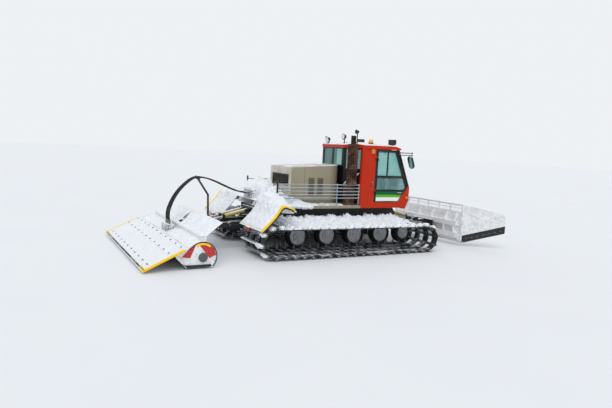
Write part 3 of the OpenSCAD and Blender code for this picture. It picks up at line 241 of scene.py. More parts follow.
def colour(hexed, alpha=1.0):
    """The linear colour of a written one such as c8401f."""
    parts = np.array([int(hexed[i:i + 2], 16) / 255 for i in (0, 2, 4)])
    linear = np.where(parts > 0.04045, ((parts + 0.055) / 1.055) ** 2.4, parts / 12.92)
    return (*linear.tolist(), alpha)


def shade(hexed, share):
    """A written colour with its linear parts times a share."""
    return tuple(part * share for part in colour(hexed)[:3]) + (1.0,)


print("shader helpers ready; a mid orange is", [round(part, 3) for part in colour("c8401f")])

# %% [markdown]
# ## Finishes with frost and packed snow
# The vehicle works in powder: what faces up carries packed snow, and what stands upright is speckled
# with frost. The facing of the surface, which Texture Coordinate gives in the object's own space, picks
# the snow's place, and two noises break its edge. The same mask whitens the colour, dulls the gloss and
# swells the surface, so the three agree.

# %% Snow over any finish
SNOW = colour("eceff3")
SNOW_ROUGH = 0.85
LYING_FROM = 0.45


def snowed(finish, base, rough, cover, speckle, grain, grain_depth):
    """Colour, roughness and height of a finish under snow.

    What lies is soft(up + patches) times the cover, joined by thresholded fine noise for the speckles.
    The height is that mask, stirred by the fine noise, plus the finish's own grain.
    """
    up = finish.axes(finish.facing)[2]
    patches = finish.noise(3.2, 6.0, 0.62)
    fine = finish.noise(38.0, 5.0, 0.7)
    lying = (up + (patches - 0.5) * 1.1).soft(LYING_FROM, LYING_FROM + 0.28)
    lying = lying * (patches + cover - 0.5).soft(0.05, 0.35)
    specks = (fine + patches * 0.5).soft(0.93 - speckle * 0.3, 1.03 - speckle * 0.3)
    mask = lying.either(specks * 0.85)
    finish.set("Base Color", finish.mix(mask, base, SNOW))
    finish.set("Roughness", rough + mask * (SNOW_ROUGH - rough))
    finish.bump(mask * (0.006 + fine * 0.006) + grain * grain_depth, 1.0, 0.9)
    return mask


def paint(name, base, rough=0.4, cover=0.5, speckle=0.35, fade=0.12, coat=0.0):
    """Paint with a slow fade, fine orange peel and snow."""
    finish = Finish(name, rough, Coat_Weight=coat, Coat_Roughness=0.15)
    tone = finish.fade(shade(base, 1 - 2.2 * fade), colour(base))
    snowed(finish, tone, rough, cover, speckle, finish.peel(), 0.00025)
    return finish.material


def bare_metal(name, base, rough=0.35, cover=0.4, speckle=0.3, metallic=0.85):
    """Rolled or cast metal: streaks along the part, snow where it faces up."""
    finish = Finish(name, rough, metallic)
    streak = finish.noise(5.0, 5.0, 0.7, (1.0, 0.15, 6.0))
    tone = finish.mix(streak, shade(base, 0.6), colour(base))
    mask = snowed(finish, tone, rough, cover, speckle, streak, 0.0006)
    finish.set("Metallic", (1 - mask) * metallic)
    return finish.material


def rubber(name, base, rough=0.75, cover=0.4, speckle=0.4):
    """Dull rubber with a fine grain, greyer where it is worn."""
    finish = Finish(name, rough)
    worn = tuple(min(1.0, part * 1.5 + 0.01) for part in colour(base)[:3]) + (1.0,)
    tone = finish.mix(finish.noise(7.0), colour(base), worn)
    snowed(finish, tone, rough, cover, speckle, finish.noise(420.0, 2.0), 0.0009)
    return finish.material


def cab_paint(name, dark, cover=-1.0):
    """Orange-red paint, black where the given function of the place says so; walls keep no snow."""
    finish = Finish(name, 0.38, Coat_Weight=0.04, Coat_Roughness=0.2, Specular_IOR_Level=0.2)
    tone = finish.fade(colour("b22304"), colour("cb3107"))
    black = dark(*finish.axes())
    if black is not None:
        tone = finish.mix(black, tone, colour("0f1112"))
    snowed(finish, tone, 0.35, cover, -0.15, finish.peel(), 0.0002)
    return finish.material


def banded_paint(name, base, dark, deep="141516", cover=0.6, speckle=0.45):
    """Paint with a part in a second, dark colour, where the given function of the place says so."""
    finish = Finish(name, 0.5)
    black = dark(*finish.axes())
    tone = finish.mix(black, finish.fade(shade(base, 0.86), colour(base)), colour(deep))
    snowed(finish, tone, 0.5, cover - black * 0.4, speckle - black * 0.5, finish.peel(), 0.0003)
    return finish.material


print("snow lies where the surface's up passes", LYING_FROM)

# %% [markdown]
# ## Finishes of single pieces
# The engine cover has louvres and seams that its packed walls don't cut through, so the paint darkens
# them, with painted shade in the louvres' openings. The mat is pale ribbed rubber with yellow ends, and
# the wings are black along their foot. Each is a comparison of the place with the drawing's own sizes,
# because that stays sharp at any distance.

# %% Cover, mat and wings
LOUVRE_MIDDLES = (1.165, 1.425)
LOUVRE_HALF, LOUVRE_LOW, LOUVRE_HIGH, SLAT_PITCH = 0.088, 1.325, 1.80, 0.042
COVER_SIDE, COVER_REAR = 0.585, 0.575
SEAM_X, SEAM_Z, SEAM_HALF = 0.960, 1.215, 0.004
MAT_RIB, MAT_END, MAT_REAR = 0.046, 2.337, -2.56
SILENCER_X, SILENCER_Y = 2.150, -0.940
PILLAR_SLOPE = 0.418
PILLAR = at(3.955) + PILLAR_SLOPE * 1.595
WING_X, WING_Y, WING_RISE, DIAGONAL = at(5.580), 1.495, 0.3244, 0.7071


def cover_paint():
    """Olive paint with painted shade in the louvres, dark seams, and a paler rear face in patches."""
    finish = Finish("cover_paint", 0.5)
    x, y, z = finish.axes()
    tone = finish.fade(colour("8f866f"), colour("a39a83"))
    # Painted shade in the louvres' openings, darkest between the slats.
    first, second = [abs(x - at(middle)) < LOUVRE_HALF for middle in LOUVRE_MIDDLES]
    louvre = first.either(second) * (z > LOUVRE_LOW) * (z < LOUVRE_HIGH) * (abs(y) > COVER_SIDE)
    slats = ((z - (LOUVRE_LOW + 0.015)) * (2 * math.pi / SLAT_PITCH)).math("SINE").soft(-0.6, 0.6)
    tone = finish.mix(louvre * (0.35 + slats * 0.45), tone, colour("3a3528"))
    # The rear face is paler, in patches.
    paler_rear = (x < at(COVER_REAR)) * (0.30 + finish.noise(5.0, 5.0).soft(0.35, 0.7) * 0.45)
    tone = finish.mix(paler_rear, tone, colour("e4e3da"))
    seam = (abs(x - at(SEAM_X)) < SEAM_HALF).either(abs(z - SEAM_Z) < SEAM_HALF)
    tone = finish.mix(seam * 0.8, tone, colour("25221b"))
    snowed(finish, tone, 0.5, 0.22, -0.05, finish.peel() - seam * 4.0, 0.0005)
    return finish.material


def mat_finish():
    """Pale ribbed rubber whose end faces and rear corners are yellow."""
    finish = Finish("mat_rubber", 0.7)
    x, y, z = finish.axes()
    ribs = (y * (2 * math.pi / MAT_RIB)).math("SINE").soft(-0.4, 0.4)
    ends = (abs(y) > MAT_END) * (x < at(MAT_REAR))
    tone = finish.mix(finish.noise(7.0), colour("dfe2e4"), colour("f0f2f3"))
    tone = finish.mix(ends, tone, colour("ffc800"))
    snowed(finish, tone, 0.7, 0.8 - ends * 1.5, 0.5 - ends, ribs * 4, 0.0009)
    return finish.material


def under_wing_edge(x, y, z):
    """Places lower than 0.12 m over the wing's foot, which rises evenly from its hinge."""
    out = (x - WING_X) * DIAGONAL + (abs(y) - WING_Y) * DIAGONAL
    return z < 0.315 + (out - 0.06) * WING_RISE


print("the wings' edge rises", WING_RISE, "m for each metre out")

# %% [markdown]
# ## One finish for each slot
# The names on the left are the record's own slots. A line gives a colour, how rough it is, and how much
# snow and frost it holds, where a negative number is none. One table is easier to tune against a
# photograph than numbers that are spread over the script.

# %% Table of finishes
FINISHES = {
    "chassis_black": paint("chassis_black", "17181a", 0.6, 0.32, 0.10),
    "wheel_grey": paint("wheel_grey", "e4e7e9", 0.6, 0.6, 0.5),
    "tyre_black": rubber("tyre_black", "0f1011", 0.8, 0.1, 0.02),
    "olive_paint": paint("olive_paint", "9c937b", 0.5, 0.25, 0.0, 0.08),
    "rail_paint": paint("rail_paint", "8f9ca2", 0.45, 0.35, -0.1),
    "engine_grey": bare_metal("engine_grey", "6a6d6f", 0.6, 0.1, 0.0, 0.5),
    "grille_black": paint("grille_black", "141516", 0.6, 0.5, 0.42),
    "white_guard": paint("white_guard", "eceef0", 0.6, 0.8, 0.4, 0.03),
    "lamp_red": paint("lamp_red", "a8241a", 0.25, 0.4, 0.2, 0.1, 0.5),
    "cab_red": cab_paint("cab_red", lambda x, y, z: None, 0.35),
    "frame_black": paint("frame_black", "0f1112", 0.4, 0.4, -0.2, 0.1, 0.1),
    "dash_plastic": paint("dash_plastic", "2b2d30", 0.7, 0.0, 0.0),
    "lamp_black": paint("lamp_black", "111213", 0.5, 0.3, -0.1),
    "arm_black": paint("arm_black", "1d1f21", 0.5, 0.5, 0.15),
    "cylinder_paint": paint("cylinder_paint", "b89f28", 0.45, 0.4, 0.4),
    "rod_chrome": bare_metal("rod_chrome", "c9ccd0", 0.12, 0.1, 0.1, 1.0),
    "blade_white": paint("blade_white", "f2f4f5", 0.5, 0.7, 0.5, 0.03),
    "edge_steel": bare_metal("edge_steel", "1c1d1f", 0.5, 0.1, 0.05, 0.5),
    "mat_rubber": mat_finish(),
    "shaft_steel": bare_metal("shaft_steel", "6a6e71", 0.45, 0.5, 0.5),
    "hose_rubber": rubber("hose_rubber", "050506", 0.75, -0.5, -1.0),
    "floor_dark": rubber("floor_dark", "2e3032", 0.8, 0.0, 0.0),
}
print("finishes:", len(FINISHES))

# %% [markdown]
# ## Glass, rust and lenses
# Glass is a thin green tint that reflects the sky. Real refraction would cost time and show little at
# this size, so a plain Principled shader with partial alpha serves every pane, with a film of frost. The
# silencer's shield is rusty steel with rows of holes, and a lens is clear colour over fine flutes.

# %% Glass, rust, beacon and lamps
SILL = 1.88
SHIELD_LOW, SHIELD_HIGH, PIPE_LOW = 1.76, 2.67, 2.71


def glass_pane():
    """Tinted glass with a streaky film, darkened with painted shade where the cab's inside stands behind it."""
    finish = Finish("cab_glass", 0.04, IOR=1.45)
    x, y, z = finish.axes()
    film = finish.noise(2.6, 4.0, 0.6, (1.0, 1.0, 0.35))
    tone = finish.mix(film.soft(0.3, 0.8), colour("84cac3"), colour("bfe6e2"))
    # Painted shade: the glass is darkened below the sill and at the back, where the cab's inside stands behind it.
    below = (z < SILL) * (0.62 - film.soft(0.42, 0.62) * 0.45)
    behind = (x < at(2.20)) * (y > -0.20) * 0.6
    tone = finish.mix(below.either(behind), tone, colour("2c3a38"))
    finish.set("Base Color", tone)
    finish.set("Alpha", 0.66 + film.soft(0.45, 0.8) * 0.2)
    return finish.material


def rusty_shield():
    """Old rust over the heat shield's rows of small holes.

    Painted shade in the holes: dark where sin(8 a) sin(82 z) is near zero, with a the angle round the silencer.
    """
    finish = Finish("rusty_steel", 0.9, Specular_IOR_Level=0.2)
    x, y, z = finish.axes()
    turn = (y - SILENCER_Y).math("ARCTAN2", x - at(SILENCER_X))
    holes = (turn * 8.0).math("SINE") * (z * 82.0).math("SINE")
    shield = (z > SHIELD_LOW) * (z < SHIELD_HIGH)
    patch = finish.noise(7.0, 8.0, 0.7)
    fine = finish.noise(70.0, 6.0, 0.7)
    tone = finish.mix(patch.soft(0.35, 0.65), colour("2a1c17"), colour("57372a"))
    tone = finish.mix((fine * patch).soft(0.22, 0.42), tone, colour("9c7361"))
    # Painted shade in the shield's holes.
    tone = finish.mix((1 - abs(holes).soft(0.25, 0.5)) * shield * 0.8, tone, colour("0a0706"))
    tone = finish.mix((z > PIPE_LOW) * 0.75, tone, colour("141212"))
    snowed(finish, tone, 0.9, -0.1, -0.05, fine - holes.soft(0.15, 0.4) * shield * 2.0, 0.002)
    return finish.material


def lens(name, base):
    """A lamp's lens: clear colour over fine vertical flutes."""
    finish = Finish(name, 0.15, Coat_Weight=0.6)
    x, y, z = finish.axes()
    flutes = ((y + x) * 260.0).math("SINE")
    finish.set("Base Color", finish.mix(flutes.soft(-1.0, 1.0), shade(base, 0.75), colour(base)))
    finish.bump(flutes, 0.002)
    return finish.material


FINISHES["cab_glass"] = glass_pane()
FINISHES["rusty_steel"] = rusty_shield()
FINISHES["beacon_amber"] = lens("beacon_amber", "ffae00")
LENS_WHITE = lens("lens_white", "f2f4f2")
LENS_AMBER = lens("lens_amber", "f08400")
LENS_RED = lens("lens_red", "c2261a")
MIRROR_FACE = Finish("mirror_face", 0.03, 1.0, Base_Color=colour("c8ccd0")).material
YELLOW = paint("edge_yellow", "ffd400", 0.55, -0.1, -0.2, 0.02)
REFLECT_RED = paint("reflector_red", "c5201c", 0.3, 0.25, 0.1, 0.05, 0.3)
FINISHES["seal_rubber"] = rubber("seal_rubber", "101112", 0.6, 0.1, 0.05)
ALUMINIUM = bare_metal("aluminium", "9da1a5", 0.42, 0.45, 0.35)
STEEL = bare_metal("bolt_steel", "84888c", 0.4, 0.3, 0.3)
print("finishes:", len(FINISHES))

# %% [markdown]
# ## Stripes on the doors
# Under the window each door is striped: black-green, dark green, lime and white, each a level band. A
# band is a step in height, so the stripes are mixed by comparing Z with the bands' heights. Only the
# outer face of the lower panel takes them.

# %% Striped doors
STRIPES = [(1.545, "06251a"), (1.490, "005c36"), (1.405, "5fae14"), (1.335, "eef2ee")]
STRIPES_END = 1.215
DOOR_OUTSIDE = 0.97


def striped_door():
    """Black door frame, with each stripe painted below its top over the ones before."""
    finish = Finish("door_striped", 0.4, Coat_Weight=0.04, Specular_IOR_Level=0.2)
    x, y, z = finish.axes()
    tone = finish.mix(finish.noise(2.0), colour("131517"), colour("1c1e20"))
    low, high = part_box("door_right")
    on_panel = (x > low.x + 0.075) * (x < high.x - 0.10) * (z > STRIPES_END)
    for top, hexed in STRIPES:
        tone = finish.mix((z < top) * on_panel * (abs(y) > DOOR_OUTSIDE), tone, colour(hexed))
    snowed(finish, tone, 0.35, 0.1, -0.3, finish.peel(), 0.0002)
    return finish.material


FINISHES["door_striped"] = striped_door()
print("stripes on a door:", len(STRIPES))

# %% [markdown]
# ## Finishes on the frame's own pieces
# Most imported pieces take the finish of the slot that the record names. A few need their own, such as
# the cab's walls, which are black between their windows and along the windscreen's pillars.

# %% Dress the frame
POST_X, ARM_X = 0.058, -2.035


def black_pillar(x, y, z):
    """In front of the sloping line of the windscreen's pillar."""
    return (x + z * PILLAR_SLOPE > PILLAR + 0.006) * (z > 1.63) * (z < 2.60)


def behind_windows(x, y, z):
    """The rear wall between its corners and below the roof's edge."""
    return (abs(y) < 0.935) * (z < 2.612)


FINISHES["cab_shell"] = cab_paint("cab_shell", black_pillar)
FINISHES["cab_rear"] = cab_paint("cab_rear", behind_windows)
FINISHES["wing_paint"] = banded_paint("wing_paint", "f2f4f5", under_wing_edge)
FINISHES["tiller_frame"] = banded_paint("tiller_frame", "eceeef", lambda x, y, z: x > at(ARM_X), "1d1f21")
FINISHES["frosted_block"] = paint("frosted_block", "1d1f21", 0.6, 0.95, 0.95)
FINISHES["cover_paint"] = cover_paint()
FINISHES["rails_and_posts"] = banded_paint("rails_and_posts", "8f9ca2", lambda x, y, z: x < at(POST_X),
                                           cover=0.35, speckle=-0.1)
OWN_FINISH = {
    "side_rails": "rails_and_posts",
    "hose_bulkhead": "frosted_block",
    "tiller_motor": "frosted_block",
    "engine_cover": "cover_paint",
    "door_right": "door_striped",
    "door_left": "door_striped",
    "cab_side_right": "cab_shell",
    "cab_side_left": "cab_shell",
    "cab_front": "cab_shell",
    "cab_back": "cab_rear",
    "wing_right": "wing_paint",
    "wing_left": "wing_paint",
    "tiller_arm": "tiller_frame",
}
node_slots = {part["node"]: part["material_slot"] for part in frame["record"]["subparts"]}
for name, made in frame["nodes"].items():
    made.data.materials.clear()
    slot_name = OWN_FINISH.get(name, node_slots[name])
    made.data.materials.append(FINISHES.get(slot_name, FINISHES["chassis_black"]))
print("dressed", len(frame["nodes"]), "nodes")

# %% [markdown]
# ## Surfaces from numpy
# Three kinds of shape make nearly everything here. A sweep carries a flat profile along a path, a
# prism is an outline given a width, and a lathe turns a profile round an axis. Each is worked out as
# one array of points, and the quads between the rows are another array.


# %% Shape helpers
def quads(rows, columns, closed_rows=False, closed_columns=True):
    """Indices of the quads of a grid whose point (i, j) has the number i * columns + j."""
    i = np.arange(rows if closed_rows else rows - 1)[:, None]
    j = np.arange(columns if closed_columns else columns - 1)[None, :]
    a, b = i * columns + j, i * columns + (j + 1) % columns
    step = (i + 1) % rows
    c, d = step * columns + (j + 1) % columns, step * columns + j
    return np.stack([a, b, c, d], -1).reshape(-1, 4).tolist()


def solid_grid(points):
    """A grid of rings made a closed solid by a cap on its first and last ring."""
    rows, columns = points.shape[:2]
    faces = quads(rows, columns)
    caps = [list(range(columns))[::-1], [(rows - 1) * columns + j for j in range(columns)]]
    return points.reshape(-1, 3), faces + caps


def prism(outline, low, high, across="y"):
    """An outline in the other two axes, made solid from low to high along the named axis."""
    outline = np.asarray(outline, float)
    ring = np.zeros((2, len(outline), 3))
    axis = "xyz".index(across)
    others = [k for k in range(3) if k != axis]
    ring[:, :, others] = outline[None]
    ring[0, :, axis], ring[1, :, axis] = low, high
    return solid_grid(ring)


def lathe(profile, centre, axis="y", sides=32):
    """A profile of (radius, distance) turned round an axis through centre."""
    profile = np.asarray(profile, float)
    turn = np.arange(sides) * 2 * math.pi / sides
    grid = np.zeros((len(profile), sides, 3))
    k = "xyz".index(axis)
    a, b = [n for n in range(3) if n != k]
    grid[:, :, a] = profile[:, 0:1] * np.cos(turn)
    grid[:, :, b] = profile[:, 0:1] * np.sin(turn)
    grid[:, :, k] = profile[:, 1:2]
    return solid_grid(grid + np.asarray(centre, float))


def tube(path, radius, sides=12, up=(0.0, 1.0, 0.0)):
    """A round section carried along a path: each ring stands square to the path's direction."""
    path = np.asarray(path, float)
    ahead = np.gradient(path, axis=0)
    ahead /= np.linalg.norm(ahead, axis=1, keepdims=True)
    side = np.cross(ahead, np.asarray(up, float))
    side /= np.linalg.norm(side, axis=1, keepdims=True)
    top = np.cross(side, ahead)
    turn = np.arange(sides) * 2 * math.pi / sides
    radii = np.broadcast_to(np.asarray(radius, float), (len(path),))[:, None, None]
    across = np.cos(turn)[None, :, None] * side[:, None] + np.sin(turn)[None, :, None] * top[:, None]
    return solid_grid(path[:, None] + radii * across)


def box_of(low, high):
    """A plain block between two corners, to be joined or bevelled."""
    (x0, y0, z0), (x1, y1, z1) = low, high
    return prism([(x0, z0), (x1, z0), (x1, z1), (x0, z1)], y0, y1)


def copies(shape, places):
    """One shape at many places, each a 4 by 4 matrix, as a single mesh."""
    points, faces = shape
    places = np.asarray(places, float)
    four = np.concatenate([points, np.ones((len(points), 1))], 1)
    placed = np.einsum("kij,nj->kni", places, four)[..., :3].reshape(-1, 3)
    many = [[index + k * len(points) for index in face] for k in range(len(places)) for face in faces]
    return placed, many


def joined(*shapes):
    """Several shapes as one mesh."""
    points, faces, start = [], [], 0
    for more, their_faces in shapes:
        points.append(np.asarray(more, float))
        faces += [[index + start for index in face] for face in their_faces]
        start += len(more)
    return np.concatenate(points), faces


def mirrored(shape):
    """The same shape on the vehicle's other side, with its faces turned to point outwards."""
    points, faces = shape
    return points * np.array([1.0, -1.0, 1.0]), [list(face)[::-1] for face in faces]


def moved(shape, offset):
    """The same shape, offset metres away."""
    return shape[0] + np.asarray(offset, float), shape[1]


def moves(offsets):
    """Matrices that only move, one for each offset."""
    offsets = np.asarray(offsets, float)
    made = np.tile(np.eye(4), (len(offsets), 1, 1))
    made[:, :3, 3] = offsets
    return made


def piece(name, shape, material, body, smooth=False, bevel=0.0):
    """A new object in the vehicle's frame, with outward faces, that rides on a body."""
    mesh = bpy.data.meshes.new(name)
    points, faces = shape
    mesh.from_pydata(np.asarray(points).tolist(), [], faces)
    bm = bmesh.new()
    bm.from_mesh(mesh)
    bmesh.ops.recalc_face_normals(bm, faces=bm.faces)
    bm.to_mesh(mesh)
    bm.free()
    mesh.materials.append(material)
    made = bpy.data.objects.new(name, mesh)
    bpy.context.scene.collection.objects.link(made)
    if bevel:
        rounding = made.modifiers.new("rounding", "BEVEL")
        rounding.width, rounding.segments, rounding.limit_method = bevel, 2, "ANGLE"
    if smooth:
        mesh.polygons.foreach_set("use_smooth", [True] * len(mesh.polygons))
        mesh.set_sharp_from_angle(angle=math.radians(40))
    if body:
        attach(made, body)
    return made


print("shape helpers ready")

# %% [markdown]
# ## The track's path
# A track is a band wrapped round three circles: the rear wheel's tyre, the idler's and the sprocket.
# The straight stretches are the circles' outer tangents, so the path is known from the circles alone.

# %% Path round three circles
BELT = 0.025
BAR_H = 0.060
TRACK_OUT = 2.050
TRACK_W = 1.310
TRACK_Y = TRACK_OUT - TRACK_W / 2
SHOES = 46
BELTS = 4
BELT_W = 0.200
TYRE_R, RIM_R, IDLER_RIM_R = 0.285, 0.212, 0.168
WHEEL_Z = BELT + BAR_H + TYRE_R
WHEEL_Y = 0.900
BELT_STEP = (TRACK_OUT - 0.010 - BELT_W / 2 - WHEEL_Y) / (BELTS - 1)
WHEELS_X = 0.640 + 0.835 * np.arange(4) - MIDDLE
IDLER_X = at(3.910)
SPROCKET = (at(-0.420), 0.400, 0.290)
WRAPS = [(WHEELS_X[0], WHEEL_Z, TYRE_R), (IDLER_X, WHEEL_Z, TYRE_R + 0.006), SPROCKET]


def track_path(out, count):
    """Points and outward angles at equal steps along the band, out metres outside the circles.

    Between circles a and b the tangent touches both at the angle of b - a less arccos((ra - rb) / d).
    """
    touch = []
    for (ax, az, ar), (bx, bz, br) in zip(WRAPS, WRAPS[1:] + WRAPS[:1]):
        touch.append(math.atan2(bz - az, bx - ax) - math.acos((ar - br) / math.hypot(bx - ax, bz - az)))
    dense, angles = [], []
    for k, (x, z, radius) in enumerate(WRAPS):
        start, stop = touch[k - 1], touch[k]
        turn = start + np.linspace(0, 1, 80) * ((stop - start) % (2 * math.pi))
        dense.append(np.stack([x + (radius + out) * np.cos(turn), z + (radius + out) * np.sin(turn)], 1))
        angles.append(turn)
    dense, angles = np.concatenate(dense), np.unwrap(np.concatenate(angles))
    dense, angles = np.vstack([dense, dense[:1]]), np.append(angles, angles[0] + 2 * math.pi)
    length = np.append(0, np.cumsum(np.linalg.norm(np.diff(dense, axis=0), axis=1)))
    steps = (np.arange(count) + 0.5) * length[-1] / count
    spots = np.stack([np.interp(steps, length, dense[:, 0]), np.interp(steps, length, dense[:, 1])], 1)
    return spots, np.interp(steps, length, angles), length[-1]


def on_track(count, y=0.0, out=BELT):
    """A matrix for each place: local X points outwards, local Z runs along the band, Y across it."""
    spots, angles, _ = track_path(out, count)
    made = np.tile(np.eye(4), (count, 1, 1))
    made[:, 0, 0], made[:, 2, 0] = np.cos(angles), np.sin(angles)
    made[:, 0, 2], made[:, 2, 2] = -np.sin(angles), np.cos(angles)
    made[:, 0, 3], made[:, 1, 3], made[:, 2, 3] = spots[:, 0], y, spots[:, 1]
    return made


TRACK_LONG = track_path(BELT, SHOES)[2]
print("track length", round(TRACK_LONG, 2), "m, a shoe every", round(TRACK_LONG / SHOES, 3), "m")

# %% [markdown]
# ## Belts, shoe bars and guide teeth
# Four rubber belts run side by side, the innermost under the wheels. An aluminium bar with a steel edge
# crosses them at every step and is bolted to each belt, and a pair of teeth beside the wheels keeps the
# tyres in line. One bar is swept along Y, then copied by an array of matrices, so 46 bars with their
# bolts are still one mesh.


# %% Track pieces
def belt_band(centre):
    """The ring between the belt's two faces, with its edges rounded by a chamfer."""
    spots, angles, _ = track_path(0.0, 240)
    half, edge = BELT_W / 2, 0.006
    section = np.array([(0, -half + edge), (edge, -half), (BELT - edge, -half), (BELT, -half + edge),
                        (BELT, half - edge), (BELT - edge, half), (edge, half), (0, half - edge)])
    rings = np.zeros((len(spots), len(section), 3))
    rings[:, :, 0] = spots[:, 0:1] + section[:, 0] * np.cos(angles)[:, None]
    rings[:, :, 2] = spots[:, 1:2] + section[:, 0] * np.sin(angles)[:, None]
    rings[:, :, 1] = centre + section[:, 1]
    return rings.reshape(-1, 3), quads(*rings.shape[:2], closed_rows=True)


def shoe_bar():
    """A bar's section carried across the track; its ends are cut back, and it carries a steel edge."""
    foot, waist, edge, tip = 0.037, 0.013, 0.007, BAR_H - 0.0004
    section = np.array([(0.001, -foot), (0.009, -foot), (0.018, -waist), (tip - 0.012, -waist * 0.8),
                        (tip, -edge), (tip, edge), (tip - 0.012, waist * 0.8), (0.018, waist),
                        (0.009, foot), (0.001, foot)])
    half, cut = TRACK_W / 2, TRACK_W / 2 - 0.03
    reach = np.array([(-half, 0.72), (-cut, 1.0), (cut, 1.0), (half, 0.72)])
    rings = np.zeros((len(reach), len(section), 3))
    rings[:, :, 0] = section[:, 0] * reach[:, 1:2]
    rings[:, :, 1] = reach[:, 0:1]
    rings[:, :, 2] = section[:, 1]
    return solid_grid(rings)


def hexagon(radius, height):
    """A bolt's head, standing along X."""
    return lathe([(radius, 0.0), (radius, height)], ORIGIN, "x", 6)


def guide_tooth():
    """A tooth that stands inwards from the belt and narrows to its tip."""
    outline = [(0.0, -0.024), (-BELT - 0.112, -0.005), (-BELT - 0.112, 0.005), (0.0, 0.024)]
    return prism(outline, -0.007, 0.007)


def bolt_plate():
    """The steel plate inside a belt that takes a bar's bolts."""
    inner = -BELT - 0.005
    return prism([(inner, -0.03), (-BELT, -0.03), (-BELT, 0.03), (inner, 0.03)], -0.085, 0.085)


def track(side, name):
    """All pieces of one track; side is -1 on the vehicle's right."""
    wheel = side * WHEEL_Y
    belts_y = side * (WHEEL_Y + np.arange(BELTS) * BELT_STEP)
    bolts = [copies(moved(hexagon(0.011, 0.010), (0.006, shift, offset)), on_track(SHOES, y))
             for y in belts_y for shift, offset in ((-0.05, -0.026), (0.05, 0.026))]
    plates = [copies(bolt_plate(), on_track(SHOES, y)) for y in belts_y]
    teeth = [copies(guide_tooth(), on_track(SHOES, wheel + reach)) for reach in (-0.132, 0.132)]
    parts = {
        "belts_": (joined(*[belt_band(y) for y in belts_y]), FINISHES["track_belt"]),
        "shoe_bars_": (copies(shoe_bar(), on_track(SHOES, side * TRACK_Y)), ALUMINIUM),
        "shoe_bolts_": (joined(*bolts, *plates), STEEL),
        "guide_teeth_": (joined(*teeth), ALUMINIUM),
    }
    for part, (shape, material) in parts.items():
        made = piece(part + name, shape, material, "root", smooth=part == "belts_")
        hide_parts("track_" + name)
    return len(bolts) * SHOES


FINISHES["track_belt"] = rubber("track_belt", "0d0e0f", 0.8, 0.08, 0.42)
print("tracks:", sum(track(side, name) for side, name in SIDES), "bolts")

# %% [markdown]
# ## Wheels and tyres
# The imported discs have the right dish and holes, so they stay, with a ring of nuts and a hub cap each.
# The tyres are turned again with two grooves in their tread and a bead at the rim. Their profile is a
# list of (radius, distance across), which a lathe carries round the axle.


# %% Wheel nuts and hub caps
def wheel_fittings(side):
    """Nuts in a ring round each hub, and a domed cap in its middle, on the disc's outer face."""
    places = [(x, side * WHEEL_Y, WHEEL_Z) for x in (*WHEELS_X, IDLER_X)]
    turn = np.arange(6) * math.pi / 3 + math.pi / 6
    nut = lathe([(0.011, 0.0), (0.011, 0.012), (0.006, 0.020)], ORIGIN, "y", 6)
    nuts = copies(nut, moves(np.stack([0.086 * np.cos(turn), 0 * turn + 0.031, 0.086 * np.sin(turn)], 1)))
    cap = lathe([(0.0435, 0.0), (0.0435, 0.030), (0.037, 0.042), (0.018, 0.050)], (0, 0.045, 0), "y", 24)
    outer = joined(nuts, cap)
    if side < 0:
        outer = mirrored(outer)
    return copies(outer, moves(places))


def tyre(rim):
    """Half of the profile is written, and mirrored across the tread."""
    half = [(rim + 0.004, 0.084), (rim + 0.012, 0.096), (TYRE_R - 0.040, 0.108), (TYRE_R - 0.016, 0.104),
            (TYRE_R - 0.002, 0.090), (TYRE_R, 0.078), (TYRE_R, 0.046), (TYRE_R - 0.010, 0.042),
            (TYRE_R - 0.010, 0.034), (TYRE_R, 0.030)]
    profile = np.array(half + [(radius, -across) for radius, across in half[::-1]])
    turn = np.arange(72) * math.pi / 36
    radius, across = profile[:, 0:1], profile[:, 1:2]
    ring = np.stack([radius * np.cos(turn), across + 0 * turn, radius * np.sin(turn)], -1)
    return ring.reshape(-1, 3), quads(len(profile), 72, closed_rows=True)


for side, name in SIDES:
    road = copies(tyre(RIM_R), moves([(x, side * WHEEL_Y, WHEEL_Z) for x in WHEELS_X]))
    front = moved(tyre(IDLER_RIM_R), (IDLER_X, side * WHEEL_Y, WHEEL_Z))
    both_sizes = joined(road, front)
    treads = piece("treads_" + name, both_sizes, FINISHES["tyre_black"], "root", smooth=True)
    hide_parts("tyres_" + name)
fittings = joined(wheel_fittings(-1), wheel_fittings(1))
piece("wheel_fittings", fittings, FINISHES["wheel_grey"], "root", smooth=True)
print("wheel fittings on", 2 * (len(WHEELS_X) + 1), "wheels")

# %% [markdown]
# ## Hoses
# Three hydraulic hoses rise from the tiller's motor in a high arc to a clamp on the mast, and run on to
# the block behind the engine cover. The points are the same as the construction's, and a smooth curve
# through them is sampled closely. The second stretch crosses the lift joint, and is attached to no body.

# %% Hoses and their fittings
HOSE_R = 0.017
HOSE_Y = (-0.075, 0.0, 0.075)
HOSE_UP = [(-2.330, 0.620), (-2.330, 0.700), (-2.340, 0.800), (-2.330, 0.930), (-2.280, 1.080),
           (-2.200, 1.250), (-2.090, 1.410), (-1.960, 1.550), (-1.820, 1.665), (-1.720, 1.717),
           (-1.665, 1.725)]
HOSE_DOWN = [(-1.615, 1.725), (-1.550, 1.724), (-1.450, 1.710), (-1.320, 1.675), (-1.170, 1.620),
             (-1.020, 1.555), (-0.880, 1.495), (-0.740, 1.440), (-0.600, 1.395), (-0.460, 1.372),
             (-0.3303, 1.370)]


